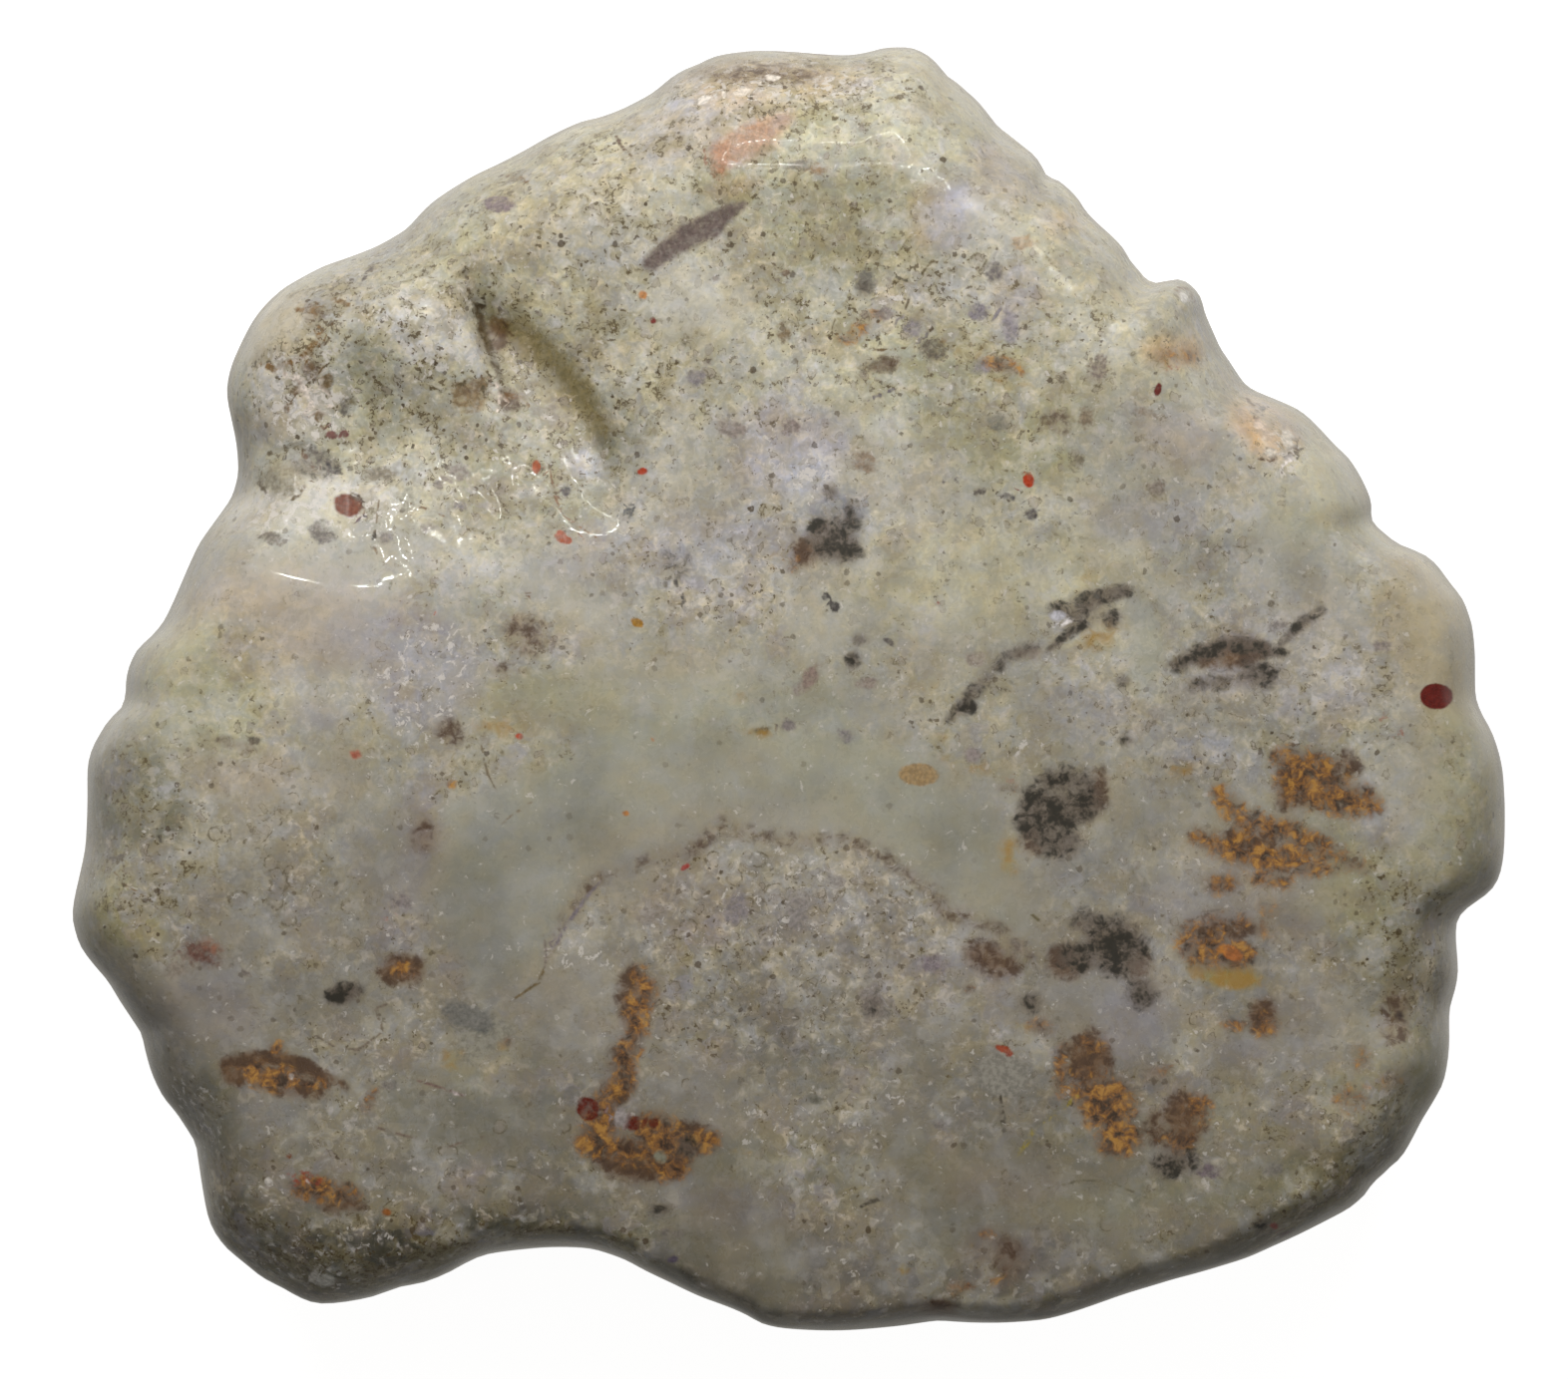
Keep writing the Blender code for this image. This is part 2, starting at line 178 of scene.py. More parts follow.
# Creases: a polyline in pixels, its half width in pixels, its depth in mm.
CREASES = [
    ([(470, 284), (480, 312), (490, 342), (497, 372), (501, 400)], 11, 0.42),
    ([(486, 318), (512, 338), (548, 378), (590, 432), (612, 476)], 32, 0.60),
    ([(492, 322), (506, 340)], 15, 0.38),
    ([(352, 372), (366, 420), (368, 470), (352, 512)], 26, 0.16),
    ([(262, 452), (300, 458), (340, 474)], 12, 0.20),
    ([(1466, 922), (1432, 936), (1408, 965), (1400, 1015)], 26, 0.40),
    ([(1392, 1168), (1352, 1160), (1310, 1168)], 20, 0.26),
    ([(200, 1150), (232, 1170), (262, 1168)], 20, 0.22),
    ([(560, 1262), (548, 1228)], 34, 0.24),
]

# Shallow hollows in the underside, in the same form; positive goes into the stone.
UNDER_DISCS = [
    (1080, 400, 150, 120, 0.75),
    (420, 860, 110, 170, 0.60),
    (1160, 1010, 120, 90, 0.55),
    (660, 330, 90, 110, -0.45),
    (760, 1130, 140, 70, -0.40),
]


# ------------------------------------------------------------ form of the stone
def to_mm(u, v):
    return (np.asarray(u, float) - MID_U) * PX, (MID_V - np.asarray(v, float)) * PX


def smooth(x):
    x = np.clip(x, 0.0, 1.0)
    return x * x * (3 - 2 * x)


def closed_spline(points, per_span):
    """Catmull-Rom through a closed list of points."""
    p = np.asarray(points, float)
    a, b, c, d = np.roll(p, 1, 0), p, np.roll(p, -1, 0), np.roll(p, -2, 0)
    rows = []
    for k in range(per_span):
        t = k / per_span
        rows.append(
            0.5
            * (
                2 * b
                + (c - a) * t
                + (2 * a - 5 * b + 4 * c - d) * t**2
                + (3 * b - a - 3 * c + d) * t**3
            )
        )
    return np.stack(rows, 1).reshape(-1, 2)


TURN = np.linspace(-math.pi, math.pi, 1441)


def around(angles, values):
    """Values at given angles, read at every angle in TURN, periodically."""
    order = np.argsort(angles)
    a, v = np.asarray(angles)[order], np.asarray(values, float)[order]
    a = np.concatenate([a - 2 * math.pi, a, a + 2 * math.pi])
    return np.interp(TURN, a, np.concatenate([v, v, v]))


def blurred(values, degrees):
    """A periodic curve over TURN, blurred by a bell of that many degrees."""
    ring = values[:-1]
    n = len(ring)
    step = np.minimum(np.arange(n), n - np.arange(n)) * 360.0 / n
    bell = np.exp(-0.5 * (step / degrees) ** 2)
    out = np.fft.irfft(np.fft.rfft(ring) * np.fft.rfft(bell / bell.sum()), n)
    return np.append(out, out[0])


rim_x, rim_y = to_mm(*closed_spline(OUTLINE, 6).T)
RIM = around(np.arctan2(rim_y, rim_x), np.hypot(rim_x, rim_y))
RIM_SOFT = blurred(RIM, 9.0)
station_x, station_y = to_mm([s[0] for s in STATIONS], [s[1] for s in STATIONS])
station_angle = np.arctan2(station_y, station_x)
SHOULDER, RISE, FLANK, DEPTH = (
    blurred(around(station_angle, [s[k] for s in STATIONS]), 5.0) for k in (2, 3, 4, 5)
)
WANDER = RIM_WAVE * (
    0.6 * np.sin(2 * TURN + 0.7) + 0.4 * np.sin(3 * TURN - 1.1) + 0.25 * np.sin(7 * TURN + 2.0)
)


def quarter(x, power):
    """Height of a superellipse's quarter, 0 at x = 0 and 1 from x = 1."""
    x = np.clip(x, 0.0, 1.0)
    return (1 - (1 - x) ** power) ** (1 / power)


def section_table(steps=513):
    """For each angle, the section from the middle of the face over the rim to the
    middle of the underside, at even steps of its length: radius and height."""
    s = np.sin(np.linspace(0, math.pi / 2, 361))
    s = np.concatenate([s, s[-2::-1]])  # share of the rim's radius
    under = np.arange(len(s)) > 360
    keep = np.where(under, 0.78, 0.70)
    radius, height = np.empty((2, len(TURN), steps))
    for i in range(len(TURN)):
        reach = RIM_SOFT[i] + (RIM[i] - RIM_SOFT[i]) * smooth((s - keep) / (1 - keep))
        r = s * reach
        inward = RIM[i] - s * RIM[i]
        rise = RISE.mean() + (RISE[i] - RISE.mean()) * smooth(s)
        depth = DEPTH.mean() + (DEPTH[i] - DEPTH.mean()) * smooth(s)
        up = rise * quarter(inward / SHOULDER[i], POLISH_SHOULDER)
        up = up + FACE_CROWN * (1 - s**2) * smooth(inward / SHOULDER[i])
        down = depth * quarter(inward / FLANK[i], UNDER_SHOULDER)
        down = down + UNDER_CROWN * (1 - s**2)
        z = RIM_Z + WANDER[i] * smooth(s / 0.9) + np.where(under, -down, up)
        length = np.concatenate([[0], np.cumsum(np.hypot(np.diff(r), np.diff(z)))])
        at = np.linspace(0, length[-1], steps)
        radius[i], height[i] = np.interp(at, length, r), np.interp(at, length, z)
    return radius, height


def read_table(table, angle, share):
    """Bilinear read of a table over TURN and over 0 to 1."""
    i = (np.asarray(angle) + math.pi) / (2 * math.pi) * (len(TURN) - 1)
    j = np.clip(share, 0, 1) * (table.shape[1] - 1)
    i0 = np.clip(i.astype(int), 0, len(TURN) - 2)
    j0 = np.clip(j.astype(int), 0, table.shape[1] - 2)
    fi, fj = i - i0, j - j0
    return (
        table[i0, j0] * (1 - fi) * (1 - fj)
        + table[i0 + 1, j0] * fi * (1 - fj)
        + table[i0, j0 + 1] * (1 - fi) * fj
        + table[i0 + 1, j0 + 1] * fi * fj
    )


def along(points, u, v):
    """Distance in pixels from each (u, v) to a polyline."""
    best = np.full(np.shape(u), 1e9)
    for (ax, ay), (bx, by) in zip(points, points[1:]):
        dx, dy = bx - ax, by - ay
        t = np.clip(((u - ax) * dx + (v - ay) * dy) / (dx * dx + dy * dy), 0, 1)
        best = np.minimum(best, np.hypot(u - ax - t * dx, v - ay - t * dy))
    return best


def face_relief(x, y):
    """Height to add to the face at (x, y), in millimetres."""
    u, v = x / PX + MID_U, MID_V - y / PX
    out = np.zeros_like(u)
    for cu, cv, ru, rv, high in DISCS:
        out += high * np.exp(-(((u - cu) / ru) ** 2 + ((v - cv) / rv) ** 2) ** 1.25)
    for points, half, deep in CREASES:
        out -= deep * np.exp(-((along(points, u, v) / half) ** 2))
    return out


def under_relief(x, y):
    """Height to add to the underside at (x, y), in millimetres."""
    u, v = x / PX + MID_U, MID_V - y / PX
    out = np.zeros_like(u)
    for cu, cv, ru, rv, high in UNDER_DISCS:
        out += high * np.exp(-((u - cu) / ru) ** 2 - ((v - cv) / rv) ** 2)
    return out


def noise_at(points, scale, seed):
    shift = Vector((seed * 13.7, seed * 7.3, seed * 3.1))
    return np.array([noise.noise(Vector(p) / scale + shift) for p in points])


def stone_points(directions):
    """Where the points of a unit sphere go on the stone, in millimetres."""
    d = directions / np.linalg.norm(directions, axis=1)[:, None]
    angle = np.arctan2(d[:, 1], d[:, 0])
    part = np.arccos(np.clip(d[:, 2], -1, 1)) / math.pi
    part = np.where(
        part < FRONT_CELLS,
        part * FRONT_SHARE / FRONT_CELLS,
        FRONT_SHARE + (part - FRONT_CELLS) * (1 - FRONT_SHARE) / (1 - FRONT_CELLS),
    )
    radius_table, height_table = section_table()
    r = read_table(radius_table, angle, part)
    z = read_table(height_table, angle, part)
    x, y = r * np.cos(angle), r * np.sin(angle)
    rim_r = np.interp(angle, TURN, RIM)
    rim_z = RIM_Z + np.interp(angle, TURN, WANDER)
    points = np.stack([x, y, z], 1)
    lumps = 0.7 * noise_at(points, 9.0, 1) + 0.3 * noise_at(points, 4.2, 2)
    off = z - rim_z
    low = smooth(-off / 3.0)
    high = smooth(off / 3.0) * smooth((r / rim_r - 0.80) / 0.15)
    side = SIDE_LUMPS * lumps * (low + 0.5 * high) * smooth((r - 7.0) / 8.0)
    x = x + side * np.cos(angle) * smooth(r / 12.0)
    y = y + side * np.sin(angle) * smooth(r / 12.0)
    z = z - 0.8 * SIDE_LUMPS * lumps * low * smooth((r - 7.0) / 8.0)
    z = z + smooth(-off / 4.0) * smooth((r - 7.0) / 6.0) * under_relief(x, y)
    face = smooth(off / 5.0)
    z = z + face * (face_relief(x, y) + FACE_LUMPS * noise_at(points, 6.5, 3) * 2)
    points = np.stack([x, y, z], 1)
    points[:, 2] -= points[:, 2].min() + FLAT_CUT
    points[:, 2] = np.maximum(points[:, 2], 0.0)
    return points, off


# ------------------------------------------------------------------- the colours
def tone(r, g, b):
    """An sRGB colour, 0 to 255, as linear light."""
    c = np.array([r, g, b]) / 255.0
    return np.where(c <= 0.04045, c / 12.92, ((c + 0.055) / 1.055) ** 2.4)


CREAM = tone(202, 196, 170)
WARM_CREAM = tone(207, 194, 167)
GREEN_CREAM = tone(192, 189, 158)
GREY_CREAM = tone(184, 179, 167)
BEIGE = tone(178, 172, 155)
PINK_CREAM = tone(198, 184, 172)
WHITE = tone(216, 212, 202)
BLUE_WHITE = tone(214, 216, 224)
LILAC = tone(180, 173, 178)
LILAC_GREY = tone(168, 161, 163)
LILAC_BLUE = tone(196, 194, 205)
BLUE_GREY = tone(160, 162, 168)
GREY_GREEN = tone(175, 174, 160)
GREY = tone(160, 157, 150)
OLIVE_CREAM = tone(172, 167, 134)
OLIVE = tone(146, 141, 105)
OLIVE_GREY = tone(138, 137, 118)
DARK_OLIVE = tone(108, 100, 66)
YELLOW_GREEN = tone(176, 171, 128)
PEACH = tone(216, 186, 152)
TAN = tone(178, 152, 112)
SALMON = tone(178, 142, 118)
ORANGE_TAN = tone(204, 166, 112)
PINK_BROWN = tone(168, 148, 140)

# The ground of the face, painted in order: (colour, strength, softness in
# pixels, shape). A shape is one blob (u, v, radius u, radius v, turn in
# degrees) or a stroke, a list of (u, v, radius).
GROUND = [
    (GREY_CREAM, 0.85, 60, [(150, 640, 100), (800, 600, 150), (1400, 700, 120)]),
    (GREY_CREAM, 0.90, 60, (600, 900, 700, 330, 0)),
    (BEIGE, 0.80, 70, (760, 1240, 800, 170, 0)),
    (CREAM, 0.70, 40, (640, 320, 130, 110, 20)),
    (CREAM, 0.75, 40, (1110, 320, 90, 70, 30)),
    (CREAM, 0.85, 30, (990, 572, 150, 62, -4)),
    (GREY_CREAM, 0.60, 30, (1170, 470, 95, 60, 20)),
    (PINK_CREAM, 0.75, 35, (285, 622, 120, 48, 8)),
    (GREEN_CREAM, 0.60, 30, (210, 690, 70, 70, 0)),
    (PINK_CREAM, 0.55, 24, (262, 782, 78, 24, 4)),
    (WARM_CREAM, 0.85, 14, (268, 326, 46, 40, -40)),
    (WHITE, 0.75, 16, (428, 322, 62, 38, 20)),
    (WHITE, 0.50, 16, (300, 405, 52, 46, 0)),
    (WHITE, 0.65, 14, (335, 506, 78, 26, -4)),
    (CREAM, 0.60, 20, (420, 520, 120, 34, 6)),
    (OLIVE_GREY, 0.45, 20, [(372, 340, 14), (382, 380, 22), (392, 425, 18)]),
    (OLIVE_CREAM, 0.60, 20, (540, 470, 80, 60, 20)),
    (OLIVE, 0.45, 16, (480, 500, 50, 26, 0)),
    # Olive and dark olive along the valley wall in the hollow: partly stain, partly painted shade where the wall faces
    # away from the light.
    (OLIVE, 0.70, 14, [(480, 312, 12), (512, 330, 20), (548, 368, 24), (584, 410, 20), (604, 452, 12)]),
    (DARK_OLIVE, 0.85, 8, [(492, 318, 10), (520, 334, 11), (556, 368, 10), (588, 408, 9), (606, 448, 7)]),
    (WHITE, 0.70, 7, [(452, 300, 7), (464, 330, 10), (476, 360, 9), (492, 392, 6)]),
    (TAN, 0.30, 18, [(500, 340, 14), (540, 380, 18), (570, 420, 14)]),
    (OLIVE_GREY, 0.40, 20, (620, 440, 36, 46, 20)),
    (BLUE_WHITE, 0.75, 8, (588, 460, 17, 15, 20)),
    (OLIVE_CREAM, 0.55, 22, (440, 262, 80, 30, -24)),
    (WARM_CREAM, 0.40, 24, (560, 200, 80, 44, -24)),
    (OLIVE_CREAM, 0.80, 24, (868, 232, 104, 50, 0)),
    (OLIVE_CREAM, 0.65, 24, (1010, 430, 90, 60, 0)),
    (OLIVE, 0.45, 20, (940, 380, 60, 26, 6)),
    (OLIVE, 0.35, 20, (1040, 450, 50, 30, 0)),
    (TAN, 0.60, 12, (928, 222, 17, 34, 0)),
    (LILAC_GREY, 0.85, 10, (952, 218, 22, 36, 0)),
    (LILAC_BLUE, 0.60, 8, (968, 200, 16, 20, 0)),
    (PINK_CREAM, 0.65, 20, (700, 130, 80, 36, -22)),
    (SALMON, 0.85, 8, [(720, 160, 12), (742, 148, 16), (766, 130, 16), (786, 116, 8)]),
    (tone(176, 124, 88), 0.60, 6, (722, 160, 8, 17, 0)),
    (TAN, 0.65, 8, (736, 190, 30, 11, -8)),
    (BLUE_WHITE, 0.45, 9, (692, 110, 24, 12, 10)),
    (BLUE_WHITE, 0.35, 9, (915, 118, 26, 11, 0)),
    (CREAM, 0.75, 22, (928, 78, 70, 32, 30)),
    (PINK_CREAM, 0.55, 20, (1012, 172, 46, 30, 40)),
    (PEACH, 0.50, 14, (1064, 222, 24, 18, 0)),
    (PEACH, 0.50, 16, (770, 82, 100, 24, 0)),
    (ORANGE_TAN, 0.80, 12, (1178, 350, 28, 14, -6)),
    (PEACH, 0.75, 12, (1268, 428, 40, 26, 40)),
    (ORANGE_TAN, 0.75, 8, (1252, 432, 9, 18, -10)),
    (CREAM, 0.80, 24, (1336, 480, 34, 46, -40)),
    (WARM_CREAM, 0.90, 24, (1436, 636, 60, 100, -6)),
    (WARM_CREAM, 0.80, 16, [(1480, 560, 12), (1496, 620, 16), (1500, 700, 18), (1502, 780, 16), (1496, 850, 14)]),
    (WARM_CREAM, 0.70, 14, [(1240, 380, 10), (1310, 410, 14), (1368, 460, 16), (1386, 520, 14), (1440, 545, 14)]),
    (CREAM, 0.80, 16, [(640, 100, 14), (560, 128, 14), (470, 165, 14), (400, 222, 12), (330, 256, 14), (262, 290, 16), (234, 350, 14), (232, 420, 10)]),
    (CREAM, 0.70, 16, [(1010, 130, 12), (1080, 200, 12), (1150, 270, 12)]),
    (CREAM, 0.55, 16, [(226, 500, 12), (180, 570, 14), (140, 640, 14), (112, 700, 14)]),
    (GREEN_CREAM, 0.55, 24, (1462, 800, 40, 90, 0)),
    (GREY, 0.75, 24, (1276, 572, 92, 34, 10)),
    (LILAC_GREY, 0.55, 30, (1300, 660, 100, 60, 0)),
    (GREY_GREEN, 0.70, 12, [(1144, 612, 18), (1150, 650, 24), (1150, 684, 14)]),
    (LILAC, 0.60, 22, (790, 458, 60, 34, -10)),
    (BLUE_WHITE, 0.55, 12, (812, 478, 22, 20, 0)),
    (BLUE_GREY, 0.75, 12, (842, 520, 26, 26, 0)),
    (LILAC_GREY, 0.60, 22, (716, 548, 100, 36, -6)),
    (BLUE_GREY, 0.35, 16, (700, 560, 60, 22, -6)),
    (PINK_CREAM, 0.30, 20, (730, 605, 60, 20, 0)),
    (GREY_GREEN, 0.85, 26, [(520, 880, 66), (560, 800, 44), (680, 740, 56), (800, 740, 60), (900, 800, 48), (960, 850, 44), (996, 920, 26)]),
    (GREY_GREEN, 0.70, 20, (510, 900, 62, 84, 8)),
    (GREY_CREAM, 0.45, 24, (700, 770, 90, 24, -4)),
    (YELLOW_GREEN, 0.40, 22, (550, 700, 80, 26, 0)),
    (LILAC, 0.75, 24, (420, 664, 62, 66, -8)),
    (LILAC_BLUE, 0.35, 22, (420, 676, 40, 40, 0)),
    (LILAC_GREY, 0.65, 10, (320, 716, 32, 17, 6)),
    (GREY, 0.35, 20, (330, 678, 30, 30, 0)),
    (OLIVE_GREY, 0.75, 20, (128, 806, 46, 62, 0)),
    (LILAC_GREY, 0.45, 12, (120, 776, 22, 18, 0)),
    (OLIVE_GREY, 0.70, 10, (166, 812, 16, 34, -10)),
    (WHITE, 0.55, 14, (168, 866, 44, 18, -14)),
    (YELLOW_GREEN, 0.70, 20, (122, 916, 50, 42, 0)),
    (GREY, 0.40, 24, (330, 860, 70, 90, 0)),
    (LILAC_GREY, 0.60, 18, [(436, 760, 14), (424, 840, 16), (402, 900, 24), (400, 950, 24)]),
    (PINK_BROWN, 0.35, 16, (420, 830, 18, 30, 0)),
    (LILAC, 0.45, 22, (212, 1010, 52, 44, 0)),
    (GREY, 0.55, 20, (180, 1040, 40, 40, 0)),
    (OLIVE_GREY, 0.55, 20, (222, 1110, 34, 56, 10)),
    (BLUE_GREY, 0.50, 16, (268, 1112, 40, 22, 0)),
    (LILAC_GREY, 0.55, 12, (458, 1176, 26, 24, 0)),
    # Dark olive along the lower rim of the lobe and the bottom hollow: partly olive soil, partly painted shade on
    # slopes facing away from the light.
    (tone(84, 82, 62), 0.80, 26, [(200, 1190, 14), (250, 1262, 24), (320, 1282, 24), (400, 1258, 20), (480, 1232, 14), (560, 1226, 10), (640, 1246, 9), (700, 1280, 8)]),
    (tone(60, 58, 42), 0.75, 12, [(300, 1250, 7), (350, 1240, 9), (392, 1240, 16), (450, 1226, 14), (520, 1222, 8)]),
    (YELLOW_GREEN, 0.45, 10, (292, 1274, 22, 10, 0)),
    (OLIVE_CREAM, 0.50, 12, (214, 1212, 18, 26, 0)),
    (GREY_GREEN, 0.40, 10, (262, 1232, 24, 12, 0)),
    (OLIVE_GREY, 0.55, 16, [(150, 1060, 10), (186, 1120, 14), (196, 1170, 14)]),
    (WHITE, 0.45, 8, (206, 1106, 14, 8, 0)),
    (OLIVE_GREY, 0.50, 20, (600, 1236, 120, 20, 4)),
    (LILAC_BLUE, 0.55, 8, (686, 1192, 22, 16, 0)),
    (GREY_CREAM, 0.85, 7, [(540, 990), (548, 955), (572, 912), (604, 878), (650, 862), (700, 850), (726, 824), (762, 838), (850, 840), (890, 860), (936, 890), (948, 914), (982, 925), (1012, 936), (1030, 955), (1022, 980), (1044, 1040), (1000, 1120), (900, 1200), (640, 1200), (560, 1100)]),
    (PINK_BROWN, 0.30, 26, (690, 900, 50, 50, 0)),
    (WHITE, 0.30, 26, (810, 905, 70, 44, 10)),
    (LILAC_BLUE, 0.45, 18, (960, 962, 46, 24, 20)),
    (GREY, 0.50, 20, (760, 1040, 60, 34, 0)),
    (GREY_GREEN, 0.40, 20, (866, 1070, 90, 30, 0)),
    (OLIVE_CREAM, 0.45, 26, (830, 1166, 130, 30, 0)),
    (CREAM, 0.55, 16, (782, 1268, 26, 22, 0)),
    (LILAC_GREY, 0.45, 22, (860, 1262, 70, 30, 0)),
    (GREY_GREEN, 0.60, 14, (944, 1244, 42, 34, 0)),
    (PINK_BROWN, 0.55, 16, (1000, 1262, 34, 30, 0)),
    (LILAC_GREY, 0.45, 20, (1050, 1256, 46, 26, 0)),
    (GREY, 0.70, 5, (1006, 1078, 26, 24, 8)),
    (LILAC_BLUE, 0.75, 16, (1134, 1024, 34, 34, 0)),
    (LILAC, 0.80, 12, (1228, 686, 40, 14, -6)),
    (LILAC_GREY, 0.55, 16, (1180, 1086, 46, 20, 0)),
    (BLUE_GREY, 0.55, 16, (1082, 878, 26, 34, 0)),
    (LILAC_BLUE, 0.65, 12, (1200, 752, 34, 20, 0)),
    (BLUE_WHITE, 0.45, 8, (1150, 737, 18, 12, 0)),
    (LILAC_BLUE, 0.45, 18, (1232, 772, 36, 20, 0)),
    (WHITE, 0.45, 12, (1028, 745, 28, 18, 0)),
    (LILAC, 0.50, 16, (1092, 708, 44, 30, 0)),
    (GREY, 0.50, 16, (1150, 862, 36, 50, 0)),
    (LILAC_GREY, 0.55, 12, (1164, 905, 30, 18, 0)),
    (LILAC, 0.55, 14, (1306, 944, 26, 30, 0)),
    (WHITE, 0.35, 10, (1196, 700, 22, 10, 0)),
    (LILAC, 0.60, 14, (1356, 690, 34, 30, 0)),
    (LILAC_BLUE, 0.55, 12, (1392, 830, 26, 20, 0)),
    (CREAM, 0.45, 16, (1420, 870, 30, 24, 0)),
    (LILAC_GREY, 0.50, 14, (1240, 1056, 34, 20, 0)),
    (LILAC, 0.45, 14, (1290, 1108, 30, 24, 0)),
    (PINK_CREAM, 0.45, 16, (1010, 1190, 60, 20, 0)),
    (WHITE, 0.35, 12, (916, 1222, 26, 12, 0)),
    (LILAC_GREY, 0.50, 14, (760, 1214, 60, 22, 0)),
    (GREY_GREEN, 0.65, 18, (474, 1124, 106, 46, 6)),
    (GREEN_CREAM, 0.40, 16, (500, 1070, 50, 22, 0)),
    (WHITE, 0.40, 10, (240, 930, 30, 18, 0)),
    (PINK_CREAM, 0.50, 14, (280, 660, 60, 26, 0)),
    (LILAC, 0.50, 14, (356, 640, 40, 22, 0)),
    (GREY_GREEN, 0.50, 16, (470, 600, 50, 20, 0)),
    (LILAC_GREY, 0.50, 14, (610, 560, 60, 22, -10)),
    (WHITE, 0.35, 12, (700, 300, 60, 30, 0)),
    (WHITE, 0.35, 14, (610, 250, 40, 30, 0)),
    (LILAC_GREY, 0.55, 12, (776, 424, 60, 22, 0)),
    (WHITE, 0.40, 10, (948, 300, 30, 16, 0)),
    (LILAC, 0.55, 10, (1020, 300, 26, 40, 0)),
    (CREAM, 0.50, 14, (1060, 330, 34, 26, 0)),
    (PINK_CREAM, 0.50, 16, (1180, 440, 40, 30, 0)),
    (LILAC_GREY, 0.45, 16, (1150, 520, 60, 24, 0)),
    (LILAC_GREY, 0.45, 24, (1250, 900, 80, 60, 0)),
    (GREY_CREAM, 0.65, 22, (1318, 1000, 54, 80, 0)),
    # A painted reflection: a pale line where a small chip catches the light.
    (CREAM, 0.60, 10, [(1302, 908, 6), (1330, 902, 9), (1352, 898, 5)]),
    (GREEN_CREAM, 0.65, 22, (1160, 1206, 110, 22, -6)),
    (GREY_GREEN, 0.45, 18, (1128, 1232, 46, 20, 0)),
    (tone(196, 192, 192), 0.45, 26, (1140, 1000, 40, 60, 20)),
    (tone(184, 183, 173), 0.80, 6, [(466, 822, 20), (500, 824, 34), (548, 836, 30), (556, 866, 26), (520, 908, 34), (486, 950, 24), (480, 984, 10)]),
    (tone(196, 192, 190), 0.40, 26, (1290, 1030, 50, 70, 0)),
    (tone(194, 190, 190), 0.40, 26, (1130, 720, 110, 34, 10)),
    (tone(190, 188, 186), 0.35, 26, (1400, 780, 36, 90, 0)),
    (tone(190, 184, 186), 0.35, 24, (860, 930, 90, 50, 20)),
    (OLIVE, 0.70, 18, (1336, 1172, 86, 30, -22)),
    # Dark olive along the lower right rim: partly olive soil, partly painted shade on the rim that faces away from the
    # light.
    (tone(92, 88, 62), 0.70, 12, [(1396, 1150, 10), (1340, 1196, 14), (1290, 1232, 12), (1230, 1256, 10)]),
    (tone(70, 64, 48), 0.65, 9, [(1250, 1268, 7), (1180, 1290, 7), (1110, 1306, 6), (1040, 1318, 5)]),
    (OLIVE_CREAM, 0.50, 12, (1300, 1180, 24, 12, -20)),
    (DARK_OLIVE, 0.55, 14, [(1432, 902, 8), (1416, 930, 14), (1406, 968, 10), (1402, 1010, 9)]),
    (OLIVE_GREY, 0.55, 12, [(1452, 960, 10), (1440, 990, 10)]),
    (YELLOW_GREEN, 0.55, 16, (1428, 1066, 20, 46, 0)),
    (CREAM, 0.35, 18, (1392, 1050, 36, 40, 0)),
    (OLIVE_GREY, 0.50, 12, (470, 1012, 30, 12, 20)),
    (tone(226, 217, 194), 0.75, 16, [(250, 330, 22), (284, 318, 26), (300, 350, 14)]),
    (tone(222, 214, 204), 0.60, 14, [(266, 372, 16), (300, 410, 22), (262, 430, 14)]),
    (tone(226, 220, 206), 0.55, 14, [(238, 512, 14), (300, 490, 18), (380, 500, 16)]),
    (tone(206, 196, 160), 0.50, 16, [(470, 178, 16), (540, 200, 22), (620, 170, 20)]),
    (tone(116, 118, 112), 0.75, 10, [(452, 1024, 8), (482, 1028, 13), (496, 1040, 8)]),
]

